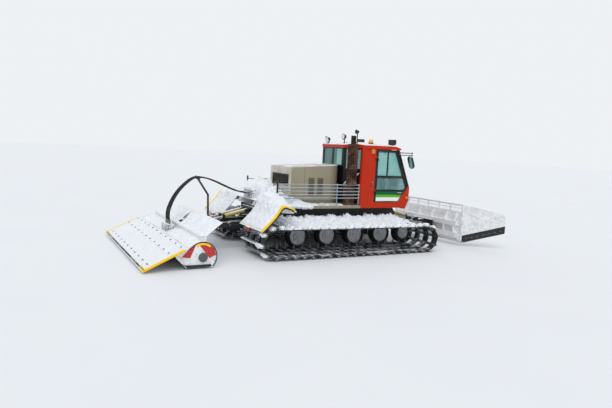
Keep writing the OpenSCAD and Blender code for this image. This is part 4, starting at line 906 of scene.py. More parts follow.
def smooth_route(points, y_from, y_to, count=90):
    """A Catmull-Rom curve through the points, which it passes at equal steps of its parameter."""
    line = np.array(points)
    sideways = y_from + (y_to - y_from) * np.arange(len(line)) / (len(line) - 1)
    flat = np.stack([line[:, 0] - MIDDLE, sideways, line[:, 1]], 1)
    held = np.vstack([2 * flat[0] - flat[1], flat, 2 * flat[-1] - flat[-2]])
    steps = np.linspace(0, len(flat) - 1 - 1e-9, count)
    k = steps.astype(int)
    t = (steps - k)[:, None]
    a, b, c, d = held[k], held[k + 1], held[k + 2], held[k + 3]
    bent = (2 * a - 5 * b + 4 * c - d) * t ** 2 + (3 * b - a - 3 * c + d) * t ** 3
    return 0.5 * (2 * b + (c - a) * t + bent)


def sleeve(route, length=0.09, radius=0.0215):
    """A crimped fitting on a hose's end: a tube along the route's first stretch, ribbed."""
    along = np.append(0, np.cumsum(np.linalg.norm(np.diff(route, axis=0), axis=1)))
    steps = np.linspace(0.0, length, 13)
    path = np.stack([np.interp(steps, along, route[:, k]) for k in range(3)], 1)
    rib = radius * (1 + 0.10 * np.where(np.arange(13) % 2, 1.0, 0.0))
    return tube(path, rib, 16)


routes_up = [smooth_route(HOSE_UP, 2 * y, y) for y in HOSE_Y]
routes_down = [smooth_route(HOSE_DOWN, y, 1.6 * y) for y in HOSE_Y]
tubes_up = joined(*[tube(route, HOSE_R, 14) for route in routes_up])
tubes_down = joined(*[tube(route, HOSE_R, 14) for route in routes_down])
hoses_up = piece("tiller_hose_tubes", tubes_up, FINISHES["hose_rubber"], "tiller", smooth=True)
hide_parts("tiller_hoses")
hoses_down = piece("lift_hose_tubes", tubes_down, FINISHES["hose_rubber"], None, smooth=True)
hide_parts("lift_hoses")
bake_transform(hoses_down)
ends_up = joined(*[sleeve(route) for route in routes_up])
ends_down = joined(*[sleeve(route[::-1]) for route in routes_down])
piece("hose_ends_tiller", ends_up, STEEL, "tiller", smooth=True)
piece("hose_ends_block", ends_down, STEEL, "root", smooth=True)
middles = (routes_up[1], routes_down[1])
lengths = [float(np.linalg.norm(np.diff(route, axis=0), axis=1).sum()) for route in middles]
print("hoses:", [round(length, 2) for length in lengths], "m each")

# %% [markdown]
# ## Cab: window seals, handles, lamps and wiper
# Every pane sits in a black seal, which is a rounded ring lying on the wall. A ring is made on a flat
# sheet first and is then carried to its wall by a frame: an origin, a direction along the wall, the
# direction up and the wall's outward direction.


# %% Window seals
def rounded(width, height, radius, steps=6):
    """Corner points of a rectangle about zero whose corners are quarter circles."""
    turn = np.linspace(0, math.pi / 2, steps)
    arc = radius * np.stack([np.cos(turn), np.sin(turn)], 1)
    corners = []
    for k, (sx, sy) in enumerate(((1, 1), (-1, 1), (-1, -1), (1, -1))):
        quarter = np.array([[math.cos(k * math.pi / 2), -math.sin(k * math.pi / 2)],
                            [math.sin(k * math.pi / 2), math.cos(k * math.pi / 2)]])
        middle = np.array([sx * (width / 2 - radius), sy * (height / 2 - radius)])
        corners.append(middle + arc @ quarter.T)
    return np.concatenate(corners)


def inset(outline, by):
    """An outline moved inwards by the same distance everywhere, for outlines that turn one way."""
    outline = np.asarray(outline, float)
    before, after = outline - np.roll(outline, 1, 0), np.roll(outline, -1, 0) - outline
    unit = [edge / np.linalg.norm(edge, axis=1, keepdims=True) for edge in (before, after)]
    normal = [np.stack([-edge[:, 1], edge[:, 0]], 1) for edge in unit]
    share = 1 + (normal[0] * normal[1]).sum(1, keepdims=True)
    return outline + by * (normal[0] + normal[1]) / share


def ring(outline, width, thick):
    """A flat ring inside an outline, with its outer edge chamfered; it lies on z = 0."""
    half = thick * 0.5
    edges = [(0.0, 0.0), (0.0, half), (half, thick), (width - half, thick), (width, half), (width, 0.0)]
    rows = [np.column_stack([inset(outline, by), np.full(len(outline), high)]) for by, high in edges]
    grid = np.stack(rows)
    return grid.reshape(-1, 3), quads(*grid.shape[:2], closed_rows=True)


def plate(outline, thick, edge=0.0):
    """A flat plate over an outline, with a chamfer round its face if edge is set."""
    rows = [np.column_stack([outline, np.zeros(len(outline))]),
            np.column_stack([outline, np.full(len(outline), thick - edge)])]
    if edge:
        rows.append(np.column_stack([inset(outline, edge), np.full(len(outline), thick)]))
    return solid_grid(np.stack(rows))


def on_wall(shape, origin, along, up=(0.0, 0.0, 1.0)):
    """A flat shape carried to a wall: x runs along it, y up, and z outwards, which is along x up."""
    along, up = np.asarray(along, float), np.asarray(up, float)
    along, up = along / np.linalg.norm(along), up / np.linalg.norm(up)
    axes = np.stack([along, up, np.cross(along, up)])
    return shape[0] @ axes + np.asarray(origin, float), shape[1]


def both(shape):
    """A shape of the vehicle's right side and its copy on the left, as one mesh."""
    return joined(shape, mirrored(shape))


def on_side(shape, side):
    """A shape of the vehicle's right side, or its copy where side is 1."""
    return shape if side < 0 else mirrored(shape)


def places_at(points):
    """Points (x, z) from the drawing's zero as an array in the frame's own places."""
    return np.array([(at(x), z) for x, z in points])


CAB_BACK, CAB_SIDE, NOSE, CAB_TOP, CAB_HALF = 2.120, 2.450, 4.030, 2.640, 0.980
BACK_HALF = 0.555
WINDOW_TOP, BACK_LOW, CORNER_LOW, CORNER_EDGE = 2.595, 2.140, 2.050, 0.052
BACK_WINDOW_W, BACK_WINDOW_Y = 0.46, -0.25
SEAL_THICK = 0.007
corner_run = np.array([CAB_SIDE - CAB_BACK, -(CAB_HALF - BACK_HALF), 0.0])
corner_long = np.linalg.norm(corner_run)
back_height, corner_height = WINDOW_TOP - BACK_LOW, WINDOW_TOP - CORNER_LOW
back_ring = ring(rounded(BACK_WINDOW_W + 0.036, back_height + 0.036, 0.03), 0.036, SEAL_THICK)
corner_outline = rounded(corner_long - 2 * CORNER_EDGE + 0.04, corner_height + 0.04, 0.04)
corner_ring = ring(corner_outline, 0.04, SEAL_THICK)
corner_height_mid = (0, 0, (WINDOW_TOP + CORNER_LOW) / 2)
corner_middle = np.array([at(CAB_BACK), -BACK_HALF, 0]) + corner_run / 2 + corner_height_mid
back_middle = (at(CAB_BACK), BACK_WINDOW_Y, (WINDOW_TOP + BACK_LOW) / 2)
seals = joined(both(on_wall(back_ring, back_middle, (0, -1, 0))),
               both(on_wall(corner_ring, corner_middle, -corner_run)))
piece("window_seals", seals, FINISHES["frame_black"], "root")

DOOR = [(2.870, 1.210), (3.660, 1.210), (3.955, 1.595), (3.535, 2.600), (2.870, 2.600)]
UPPER_PANE = [(2.925, 1.905), (3.762, 1.905), (3.494, 2.545), (2.925, 2.545)]
LOWER_PANE = [(2.925, 1.535), (3.880, 1.535), (3.899, 1.590), (3.795, 1.860), (2.925, 1.860)]
DOOR_FACE = -CAB_HALF
rings = [ring(inset(places_at(DOOR), 0.006), 0.020, 0.005)]
rings += [ring(inset(places_at(pane), -0.006), 0.016, 0.006) for pane in (UPPER_PANE, LOWER_PANE)]
door_rings = joined(*[on_wall(flat, (0, DOOR_FACE, 0), (1, 0, 0)) for flat in rings])
for side, name in SIDES:
    rim = on_side(door_rings, side)
    piece("door_seals_" + name, rim, FINISHES["seal_rubber"], "door_" + name)
print("seals round", 4 + 2 * 2, "windows")

# %% [markdown]
# ## Handles, side lamps and wiper
# A grab handle is a tube whose ends bend in to the wall, and a lamp or latch is a stack of two small
# plates with soft edges. All are drawn for the right side, and mirrored with their faces turned round.

# %% Handles, side lamps and wiper
def grip(low, high, stand, radius=0.009):
    """A bar that stands off a wall on the right side: its ends bend in to the wall."""
    low, high = np.asarray(low, float), np.asarray(high, float)
    share = np.array([0.0, 0.0, 0.06, 0.16, 0.5, 0.84, 0.94, 1.0, 1.0])
    out = np.array([-0.004, 0.5, 0.85, 1.0, 1.0, 1.0, 0.85, 0.5, -0.004]) * stand
    path = low + share[:, None] * (high - low)
    path[:, 1] -= out
    return tube(path, radius, 12, (1.0, 0.0, 0.0))


def pad(centre, width, height, thick, radius=0.012):
    """A small rounded plate on the right side's wall, with a soft edge."""
    return on_wall(plate(rounded(width, height, radius), thick, thick * 0.3), centre, (1, 0, 0))


def stack(centre, base, face, step, radius):
    """A pad on a pad: each is (width, height, thickness), and the face starts step off the wall."""
    x, y, z = centre
    return joined(pad(centre, *base), pad((x, y - step, z), *face, radius))


wall = DOOR_FACE - 0.0003
grab_low, grab_high = (at(2.780), wall, 1.550), (at(2.780), wall, 1.730)
grab = joined(grip(grab_low, grab_high, 0.040, 0.007),
              *[pad(end, 0.034, 0.034, 0.006) for end in (grab_low, grab_high)])
piece("grab_handles", both(grab), STEEL, "root", smooth=True)
latch = joined(pad((at(3.705), wall, 1.440), 0.17, 0.060, 0.016, 0.02),
               pad((at(3.700), wall - 0.014, 1.440), 0.11, 0.030, 0.014, 0.014))
for side, name in SIDES:
    shape = on_side(latch, side)
    piece("latch_" + name, shape, FINISHES["lamp_black"], "door_" + name, smooth=True)
side_lamp = stack((at(2.750), wall, 2.540), (0.104, 0.124, 0.020), (0.088, 0.108, 0.030), 0.018, 0.02)
piece("side_lamps", both(side_lamp), LENS_AMBER, "root", smooth=True)
indicator = stack((at(3.955), wall, 1.320), (0.090, 0.070, 0.014), (0.074, 0.054, 0.022), 0.012, 0.016)
piece("indicators", both(indicator), LENS_AMBER, "root", smooth=True)


def screen_point(share, y, out=0.012):
    """A point on the windscreen: share goes from its lower edge at 0 to its upper edge at 1."""
    low, high = np.array([at(NOSE), 1.600]), np.array([at(3.610), CAB_TOP])
    run = high - low
    normal = np.array([run[1], -run[0]]) / np.linalg.norm(run)
    x, z = low + run * share + normal * out
    return (x, y, z)


arm_line = [screen_point(0.02, 0.35, 0.02), screen_point(0.08, 0.33, 0.035), screen_point(0.55, 0.12, 0.03)]
rubber_line = [screen_point(share, y, 0.016) for share, y in ((0.20, 0.32), (0.55, 0.12), (0.88, -0.06))]
arm = tube(arm_line, (0.010, 0.009, 0.006), 10)
wiping = tube(rubber_line, (0.007, 0.011, 0.007), 8)
hub = lathe([(0.022, -0.02), (0.022, 0.02), (0.012, 0.03)], screen_point(0.02, 0.35, 0.01), "x", 20)
piece("wiper", joined(arm, wiping, hub), FINISHES["lamp_black"], "root", smooth=True)
print("a wiper, two handles, two latches and four amber lamps")

# %% [markdown]
# ## Lamps on the roof
# The roof's top is where two arches meet, one across and one along, so a lamp's foot is found from the
# same formula: the lower of two circles' heights. A lamp is a lathe that lies on its side, with a bright
# face in a black rim. The two front lamps are boxes with rounded corners.

# %% Roof lamps, beacon and mirrors
ROOF_ACROSS, ROOF_ALONG, CROWN = 6.0425, 2.700, 2.780
ROOF_MID = CAB_BACK + 0.700


def roof_height(x, y):
    """z = crown - R + sqrt(R^2 - d^2) for each arch, and the lower of the two."""
    across = CROWN - ROOF_ACROSS + np.sqrt(ROOF_ACROSS ** 2 - y ** 2)
    along = CROWN - ROOF_ALONG + np.sqrt(ROOF_ALONG ** 2 - (x - ROOF_MID) ** 2)
    return np.minimum(across, along)


def turned(shape, matrix, offset):
    """A shape turned by a 3 by 3 matrix about zero, and then moved."""
    return shape[0] @ np.asarray(matrix, float).T + np.asarray(offset, float), shape[1]


def tilt_y(degrees):
    """Turns about Y, so that +Z goes towards +X."""
    c, s = math.cos(math.radians(degrees)), math.sin(math.radians(degrees))
    return np.array([[c, 0, s], [0, 1, 0], [-s, 0, c]])


def round_lamp(radius):
    """A lamp about Z, as its rim and its domed face."""
    outside = radius + 0.0003
    rim = [(radius - 0.014, 0.047), (radius + 0.0015, 0.047), (radius + 0.0015, 0.030), (outside, 0.026),
           (outside, 0.049), (radius - 0.012, 0.051)]
    face = [(radius - 0.010, 0.046), (radius - 0.014, 0.054), (radius * 0.5, 0.060), (0.004, 0.062)]
    return lathe(rim, ORIGIN, "z", 40), lathe(face, ORIGIN, "z", 40)


# Each round lamp: x, y, height over the roof, radius, tilt in degrees and whether its face is bright.
LAMPS = [(2.190, 0.400, 0.115, 0.095, -108, True),
         (2.290, -0.280, 0.170, 0.080, -90, True),
         (2.390, -0.740, 0.300, 0.055, -90, False)]
FRONT_LAMPS_X, FRONT_LAMPS_FACE, FRONT_LAMPS_Y = 3.520, at(3.575) + 0.0003, (-0.760, 0.760)
rims, faces, brackets = [], [], []
for x, y, stalk, radius, tilt, bright in LAMPS:
    foot = float(roof_height(x, y))
    rim, face = [turned(shape, tilt_y(tilt), (at(x), y, foot + stalk)) for shape in round_lamp(radius)]
    rims.append(rim)
    (faces if bright else rims).append(face)
    low = (at(x) - 0.022, y - 0.010, foot + 0.004)
    brackets.append(box_of(low, (at(x) + 0.022, y + 0.010, foot + 0.024)))
for y in FRONT_LAMPS_Y:
    centre = (FRONT_LAMPS_FACE, y, float(roof_height(FRONT_LAMPS_X, y)) + 0.133)
    faces.append(on_wall(plate(rounded(0.17, 0.085, 0.012), 0.008, 0.003), centre, (0, 1, 0)))
    rims.append(on_wall(ring(rounded(0.186, 0.101, 0.018), 0.010, 0.014), centre, (0, 1, 0)))
piece("lamp_rims", joined(*rims, *brackets), FINISHES["lamp_black"], "root", smooth=True)
piece("lamp_faces", joined(*faces), LENS_WHITE, "root", smooth=True)
BEACON_X, BEACON_Y = 2.915, -0.620
beacon_at = (at(BEACON_X), BEACON_Y, float(roof_height(BEACON_X, BEACON_Y)))
base_ring = lathe([(0.060, 0.002), (0.073, 0.002), (0.073, 0.016), (0.068, 0.024), (0.060, 0.024)],
                  beacon_at, "z", 40)
piece("beacon_base", base_ring, FINISHES["lamp_black"], "root", smooth=True)
print("lamps:", len(LAMPS) + len(FRONT_LAMPS_Y), "on the roof, and a beacon")

# %% [markdown]
# ## Mirrors
# A mirror's head is a stadium: a long plate whose ends are half circles. Its glass faces back and its
# shell faces forward. Both are made flat about zero, turned by the head's two small angles, and moved.

# %% Mirrors
HEAD_AT = np.array([at(3.840), -CAB_HALF - 0.260, CAB_TOP - 0.095 - 0.240])
HEAD_BACK, HEAD_LEAN = -14, math.radians(-8)
GLASS_X = -0.0463
cos_lean, sin_lean = math.cos(HEAD_LEAN), math.sin(HEAD_LEAN)
head_turn = tilt_y(HEAD_BACK) @ np.array([[1, 0, 0], [0, cos_lean, -sin_lean], [0, sin_lean, cos_lean]])
stadium = rounded(0.176, 0.345, 0.0875, 12)
glass_local = on_wall(plate(inset(stadium, 0.012), 0.004, 0.001), (GLASS_X, 0, 0), (0, -1, 0))
shell_local = joined(on_wall(plate(inset(stadium, 0.003), 0.020, 0.012), (0.0003, 0, 0), (0, 1, 0)),
                     on_wall(ring(inset(stadium, 0.001), 0.010, 0.007), (GLASS_X, 0, 0), (0, -1, 0)))
mirror_glass = both(turned(glass_local, head_turn, HEAD_AT))
mirror_shells = both(turned(shell_local, head_turn, HEAD_AT))
piece("mirror_glass", mirror_glass, MIRROR_FACE, "root")
piece("mirror_shells", mirror_shells, FINISHES["lamp_black"], "root", smooth=True)
print("mirrors' heads", round(HEAD_AT[2], 2), "m up")

# %% [markdown]
# ## Tail lamps
# Each tail lamp gets a red, an amber and a clear lens in a row, which are small plates with soft edges.

# %% Tail lamps
TAIL_LENSES = ((1.170, LENS_RED), (1.250, LENS_AMBER), (1.330, LENS_WHITE))
LENS_W, LENS_H, LENS_THICK = 0.066, 0.050, 0.010
tail_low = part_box("tail_lamps")[0]
lens_flat = plate(rounded(LENS_W, LENS_H, 0.008), LENS_THICK, 0.004)
for number, (y, tone) in enumerate(TAIL_LENSES):
    centre = (tail_low.x - 0.0003 + 0.011, -y, tail_low.z + 0.052)
    lens_shape = on_wall(lens_flat, centre, (0, -1, 0), (0.02, 0, 1))
    piece("tail_lens_%d" % number, both(lens_shape), tone, "root", smooth=True)
print("tail lenses:", 2 * len(TAIL_LENSES))

# %% [markdown]
# ## Snow that lies on the machine
# A layer of snow is a grid of places on a surface, lifted along the surface's normal by a depth. Where
# the depth is below zero the layer sinks under the surface and bare paint shows, so its outline comes
# out ragged as real snow does. The lumps are sines in turning directions whose waves shrink each time.


# %% Snow layers
def lumps(a, b, size, seed=0.0):
    """Waves of shrinking length in turning directions, on a plane that is first bent by slower waves.

    Wave k is 0.62^k sin(2 pi 1.9^k (a cos t + b sin t) / size) with t = 1.1 + 2.2 k, and the sum runs
    from -1 to 1 or so. Bending a by waves of b, and b by waves of a, keeps the ridges from repeating.
    """
    bend = 2 * math.pi / size
    slow, quick = 0.30 * size, 0.14 * size
    push_a = slow * np.sin(bend * 0.53 * b + 1.7 + seed) + quick * np.sin(bend * 1.37 * b - 0.6 * bend * a)
    push_b = slow * np.sin(bend * 0.61 * a + 0.4 - seed) + quick * np.sin(bend * 1.21 * a + 0.7 * bend * b)
    a, b = a + push_a, b + push_b
    total = 0 * a + 0 * b
    for k in range(6):
        turn, wave = 1.1 + 2.2 * k + seed, 2 * math.pi * 1.9 ** k / size
        total = total + 0.62 ** k * np.sin(wave * (a * math.cos(turn) + b * math.sin(turn)) + 5.0 * turn)
    return total / 1.8


def snow_layer(name, ground, normal, depth, body):
    """A closed layer between the ground less 12 mm and the ground plus its depth, thin at its rim."""
    rows, columns = depth.shape
    s, t = np.linspace(-1, 1, rows)[:, None], np.linspace(-1, 1, columns)[None]
    rim = np.clip((1 - np.abs(s)) * 9, 0, 1) * np.clip((1 - np.abs(t)) * 14, 0, 1)
    raised = np.where(depth > 0, depth * rim ** 0.6, depth) - 0.010 * (1 - rim)
    top = ground + normal * np.maximum(raised, -0.011)[..., None]
    low = ground - normal * 0.012
    count = rows * columns
    faces = quads(rows, columns, closed_columns=False)
    under = [[index + count for index in face[::-1]] for face in faces]
    grid = np.arange(count).reshape(rows, columns)
    loop = np.concatenate([grid[0, :-1], grid[:-1, -1], grid[-1, :0:-1], grid[:0:-1, 0]])
    walls = [[int(a), int(b), int(b) + count, int(a) + count] for a, b in zip(loop, np.roll(loop, -1))]
    points = np.concatenate([top.reshape(-1, 3), low.reshape(-1, 3)])
    piece(name, (points, faces + under + walls), SNOW_PACK, body, smooth=True)


def snow_pack():
    """Packed snow: a slow drift of blue-white under a fine grain."""
    finish = Finish("snow_pack", 0.9)
    grain = finish.noise(60.0, 6.0, 0.7)
    slow = finish.noise(6.0, 4.0)
    finish.set("Base Color", finish.mix(slow, colour("e4e9ef"), colour("f6f8fa")))
    finish.bump(grain * 0.010 + slow * 0.02, 1.0, 0.8)
    return finish.material


SNOW_PACK = snow_pack()
print("snow layers are closed, 12 mm into what they lie on")

# %% [markdown]
# ## Grids that the snow follows
# A layer can lie over a rectangle in x and y, whose height is a function, or over a section carried
# across the vehicle. On the track it also rises over each bar, so the nearest bar's distance is needed.

# %% Grids for snow


def flat_grid(xs, ys, height):
    """Places over a rectangle in x and y, with the height given by a function, and their normals up."""
    x, y = np.meshgrid(xs, ys, indexing="ij")
    ground = np.stack([x, y, height(x, y)], -1)
    return x, y, ground, np.broadcast_to([0.0, 0.0, 1.0], ground.shape)


def section_grid(line, ys, step=0.02):
    """Places over a section of (x, z) points carried along Y; normals are square to the section."""
    line = np.asarray(line, float)
    run = np.append(0, np.cumsum(np.linalg.norm(np.diff(line, axis=0), axis=1)))
    at_run = np.linspace(0, run[-1], int(run[-1] / step) + 2)
    x, z = np.interp(at_run, run, line[:, 0]), np.interp(at_run, run, line[:, 1])
    dx, dz = np.gradient(x), np.gradient(z)
    normal = np.stack([-dz, 0 * dx, dx], 1) / np.hypot(dx, dz)[:, None]
    normal *= np.sign(normal[:, 2:3].mean())
    ground = np.stack(np.broadcast_arrays(x[:, None], ys[None], z[:, None]), -1)
    run_grid = at_run[:, None] + 0 * ys[None]
    return run_grid, ground[..., 1], ground, np.broadcast_to(normal[:, None], ground.shape)


def run_top(x, y):
    """Height of the belts' upper run: a straight line from the sprocket's top to the idler's."""
    rear, front = SPROCKET[1] + SPROCKET[2] + BELT, WHEEL_Z + TYRE_R + 0.006 + BELT
    return np.interp(x, [SPROCKET[0], IDLER_X], [rear, front]) + 0 * y


bars = on_track(SHOES, 0.0)
pitch = TRACK_LONG / SHOES


def on_bars(x):
    """1 over a bar of the upper run and 0 between two, from the nearest bar's distance."""
    top_bars = bars[bars[:, 2, 0] > 0.9][:, 0, 3]
    near = np.abs(np.asarray(x)[..., None] - top_bars).min(-1)
    return 0.5 + 0.5 * np.cos(np.clip(near / pitch, 0, 0.5) * 2 * math.pi)


def ramp(value, start, length):
    """0 up to start, then an even rise to 1 over a length, which is negative for a fall."""
    return np.clip((value - start) / length, 0, 1)


print("bars on the upper run:", int((bars[:, 2, 0] > 0.9).sum()))

# %% [markdown]
# ## Snow on the tracks
# The upper runs carry most of the snow. It is deepest beside the cab, and lumps of two sizes break it.
# A clod hangs on many of the bars' ends, where the snow is pressed out: an ellipsoid whose radius is
# stirred, because forty copies of one lump would show.

# %% Snow on the tracks
for side, name in SIDES:
    across = np.arange(0.755, 2.045, 0.018) * side
    x, y, ground, normal = flat_grid(np.arange(at(-0.36), at(3.86), 0.016), across, run_top)
    inner = ramp(np.abs(y), 1.80, -0.75)
    depth = 0.006 + 0.085 * inner ** 1.3 + (0.020 + 0.030 * inner) * lumps(x, y, 0.60, side)
    depth += 0.052 * on_bars(x) + (0.038 + 0.010 * inner) * lumps(x, y, 0.13, 3 * side)
    depth -= 0.05 * ramp(x, at(3.45), 0.4) + 0.10 * ramp(x, at(-0.10), -0.26)
    snow_layer("snow_track_" + name, ground, normal, depth, "root")


def clod(length, width, height, seed):
    """A lump on a bar's end: an ellipsoid along Y whose radius is stirred by the layer's own lumps."""
    turn = np.arange(12) * math.pi / 6
    along = np.linspace(-1, 1, 9)[:, None]
    radius = np.sqrt(1 - (along * 0.985) ** 2) * (1 + 0.28 * lumps(along * 0.5, turn[None] * 0.16, 0.5, seed))
    return solid_grid(np.stack([radius * np.cos(turn) * height, along * length + 0 * turn,
                                radius * np.sin(turn) * width], -1))


def bar_clods(side):
    """Clods on one track's bars: small ones on the upper run, long ones behind, some on the front."""
    made = []
    for k, bar_frame in enumerate(bars):
        up, back = bar_frame[2, 0], -bar_frame[0, 0]
        if not (up > 0.55 or back > 0.35 or (up > -0.2 and k % 3 == 0)):
            continue
        at_back = back >= 0.3
        long = (0.190 if at_back else 0.115) + 0.035 * math.sin(2.3 * k + side)
        width, height, sunk = (0.056, 0.048, 0.022) if at_back else (0.068, 0.056, 0.036)
        place = bar_frame.copy()
        place[:3, 3] += place[:3, 0] * (BAR_H - sunk)
        place[1, 3] = side * (TRACK_OUT - 0.001 - long)
        made.append(copies(clod(long, width, height, k), [place]))
    return made


clods = bar_clods(-1) + bar_clods(1)
piece("snow_clods", joined(*clods), SNOW_PACK, "root", smooth=True)
print("clods:", len(clods))

# %% [markdown]
# ## Snow on the body
# The guard and the deck behind the engine cover hold the largest pile, because the tiller throws snow
# forward on to them. A pile is a bell curve of the distance from its middle.
#
# The roof's layer has a known fault. It gives roof_height the frame's x, where the formula wants the
# drawing's, so only its front edge lies on the roof and the rest hangs under it, inside the cab.

# %% Snow on guard, deck and roof
GUARD = [(0.030, 1.120), (-0.0596, 1.190), (-0.2497, 1.250), (-0.3402, 1.215), (-0.4796, 1.010),
         (-0.6697, 0.815), (-0.795, 0.697)]
DECK_TOP, BLOCK_TOP = 1.120, 1.440
guard_places = places_at(GUARD)


def rear_ground(x, y):
    """The deck's end and the guard's rise behind it."""
    return np.interp(x, [at(-0.20), at(-0.06), at(0.03)], [1.234, 1.190, DECK_TOP]) + 0 * y


for side, name in SIDES:
    s, y, ground, normal = section_grid(guard_places, np.arange(0.71, 2.02, 0.025) * side)
    pile = np.exp(-((s - 0.20) / 0.20) ** 2) * ramp(np.abs(y), 1.9, -0.7)
    depth = 0.022 + 0.22 * pile + (0.014 + 0.04 * pile) * lumps(s, y, 0.6, 2 + side)
    depth += 0.012 * lumps(s, y, 0.17, side) - 0.05 * ramp(np.abs(y), 1.90, 0.06)
    snow_layer("snow_guard_" + name, ground, normal, depth, "root")

along, across = np.arange(at(-0.20), at(0.56), 0.020), np.arange(-0.93, 0.94, 0.022)
x, y, ground, normal = flat_grid(along, across, rear_ground)
pile = np.exp(-(np.maximum(0, np.abs(x - at(0.20)) - 0.16) / 0.13) ** 2)
crest = 0.29 + 0.17 * ramp(y, -0.35, 0.5) - 0.20 * ramp(y, -0.72, -0.18) + 0.10 * lumps(x, y, 0.9, 3)
depth = 0.03 + pile * crest + 0.03 * lumps(x, y, 0.3, 1)
snow_layer("snow_deck_rear", ground, normal, depth, "root")

for side, name in SIDES:
    along, across = np.arange(at(0.48), at(2.02), 0.022), np.arange(0.602, 0.93, 0.018) * side
    x, y, ground, normal = flat_grid(along, across, lambda x, y: DECK_TOP + 0 * x)
    depth = 0.22 * ramp(x, at(1.25), -0.8) ** 1.5 + 0.006 + 0.030 * lumps(x, y, 0.5, 4 + side)
    snow_layer("snow_deck_" + name, ground, normal, depth, "root")

along, across = np.arange(at(2.14), at(3.62), 0.022), np.arange(-0.92, 0.93, 0.022)
x, y, ground, normal = flat_grid(along, across, roof_height)
outside = ramp(np.abs(y) - (x - at(CAB_BACK)) * 1.28, BACK_HALF, 0.05)
depth = 0.012 + 0.022 * lumps(x, y, 0.8, 6) + 0.010 * lumps(x, y, 0.2, 7)
depth += 0.02 * ramp(x, at(2.6), -0.4) - 0.08 * outside
snow_layer("snow_roof", ground, normal, depth, "root")

along, across = np.linspace(at(-0.3293), at(-0.2203), 9), np.linspace(-0.258, 0.258, 30)
x, y, ground, normal = flat_grid(along, across, lambda x, y: BLOCK_TOP + 0 * x)
snow_layer("snow_bulkhead", ground, normal, 0.055 + 0.02 * lumps(x, y, 0.3, 2), "root")


def cornice(k):
    """A long clod that hangs over the deck's edge, with its length turned along the vehicle."""
    lump = clod(0.12 + 0.03 * math.sin(3 * k), 0.075, 0.055, k)
    place = np.array([[0, 1, 0, at(0.34 + 0.15 * k)],
                      [0, 0, 1, -0.985 - 0.012 * math.sin(5 * k)],
                      [1, 0, 0, 1.125 - 0.008 * k],
                      [0, 0, 0, 1.0]])
    return copies(lump, [place])


cornices = both(joined(*[cornice(k) for k in range(5)]))
piece("snow_cornices", cornices, SNOW_PACK, "root", smooth=True)
print("guard's section has", len(GUARD), "points")

# %% [markdown]
# ## Snow on the tiller
# The tiller's hood is an arc about its shaft that runs on as a straight ramp to the mat. The same two
# directions, along the ramp and off it, place everything else that sits on the mat.

# %% Snow on the tiller
REEL = np.array([at(-2.170), 0.250])
HOOD_OUT, RAMP_ANGLE, MAT_OUT = 0.290, math.radians(115), 0.0553
ramp_out = np.array([math.cos(RAMP_ANGLE), math.sin(RAMP_ANGLE)])
ramp_way = np.array([-math.sin(RAMP_ANGLE), math.cos(RAMP_ANGLE)])
ramp_top = REEL + HOOD_OUT * ramp_out
arc = np.radians(np.linspace(35, 115, 12))
hood_arc = REEL + HOOD_OUT * np.stack([np.cos(arc), np.sin(arc)], 1)
hood_line = np.vstack([hood_arc, ramp_top + ramp_way * 0.21])
for number, (start, stop) in enumerate(((-2.17, -0.28), (0.28, 2.17))):
    s, y, ground, normal = section_grid(hood_line, np.arange(start, stop, 0.03))
    depth = 0.018 + 0.022 * lumps(s, y, 0.7, number) + 0.010 * lumps(s, y, 0.2, 3)
    snow_layer("snow_hood_%d" % number, ground, normal, depth, "tiller")
shield_line = places_at([(-2.17, 0.645), (-2.04, 0.655), (-1.86, 0.80), (-1.70, 0.925)])
for number, (start, stop) in enumerate(((-2.02, -0.16), (0.16, 2.02))):
    s, y, ground, normal = section_grid(shield_line, np.arange(start, stop, 0.03))
    depth = 0.035 + 0.030 * lumps(s, y, 0.6, 8 + number) + 0.012 * lumps(s, y, 0.2, 3)
    snow_layer("snow_beam_%d" % number, ground, normal, depth, "tiller")
mat_line = [ramp_top + ramp_way * run + ramp_out * MAT_OUT for run in (0.25, 1.10)]
s, y, ground, normal = section_grid(mat_line, np.arange(-2.2, 2.21, 0.03))
depth = 0.006 + 0.014 * lumps(s, y, 0.5, 5) + 0.008 * lumps(s, y, 0.16, 2) - 0.012 * ramp(s, 0.5, 0.3)
snow_layer("snow_mat", ground, normal, depth, "tiller")

# %% [markdown]
# ## Tiller's ends and finisher mat
# Both end caps carry a yellow arc, two red panels with the white cap between them and a black strip
# along the foot, which is painted shadow at the cap's lower edge. The panels are outlines on the cap's
# plane. The mat is held by two bars with bolts.

# %% Tiller's ends and mat fittings
CAP_Y = 2.2003


def arc_band(inner, outer, start, stop, steps=24):
    """Outline of a ring's part about the shaft, between two angles in degrees."""
    turn = np.radians(np.linspace(start, stop, steps))
    ray = np.stack([np.cos(turn), np.sin(turn)], 1)
    return np.concatenate([REEL + inner * ray, REEL + outer * ray[::-1]])


def cap_plate(points, thick=0.004):
    """A thin plate on the right cap's outer face; points (x, z) may turn either way."""
    outline = np.asarray(points, float)
    x, z = outline.T
    if (x * np.roll(z, -1) - z * np.roll(x, -1)).sum() < 0:
        outline = outline[::-1]
    return on_wall(plate(outline, thick), (0, -CAP_Y, 0), (1, 0, 0))


RED_REAR = [(-2.600, 0.260), (-2.440, 0.440), (-2.310, 0.505), (-2.425, 0.235)]
RED_FRONT = [(-2.265, 0.535), (-2.120, 0.545), (-2.000, 0.490), (-1.915, 0.395), (-1.885, 0.285),
             (-2.020, 0.215)]
FOOT_SHADOW = [(-2.480, 0.038), (-2.010, 0.038), (-1.965, 0.060), (-1.990, 0.092), (-2.500, 0.092),
        (-2.545, 0.105), (-2.575, 0.120)]
reds = joined(cap_plate(places_at(RED_REAR)), cap_plate(places_at(RED_FRONT)))
piece("cap_red", both(reds), REFLECT_RED, "tiller")
piece("cap_yellow", both(cap_plate(arc_band(0.246, 0.286, 52, 122), 0.006)), YELLOW, "tiller")
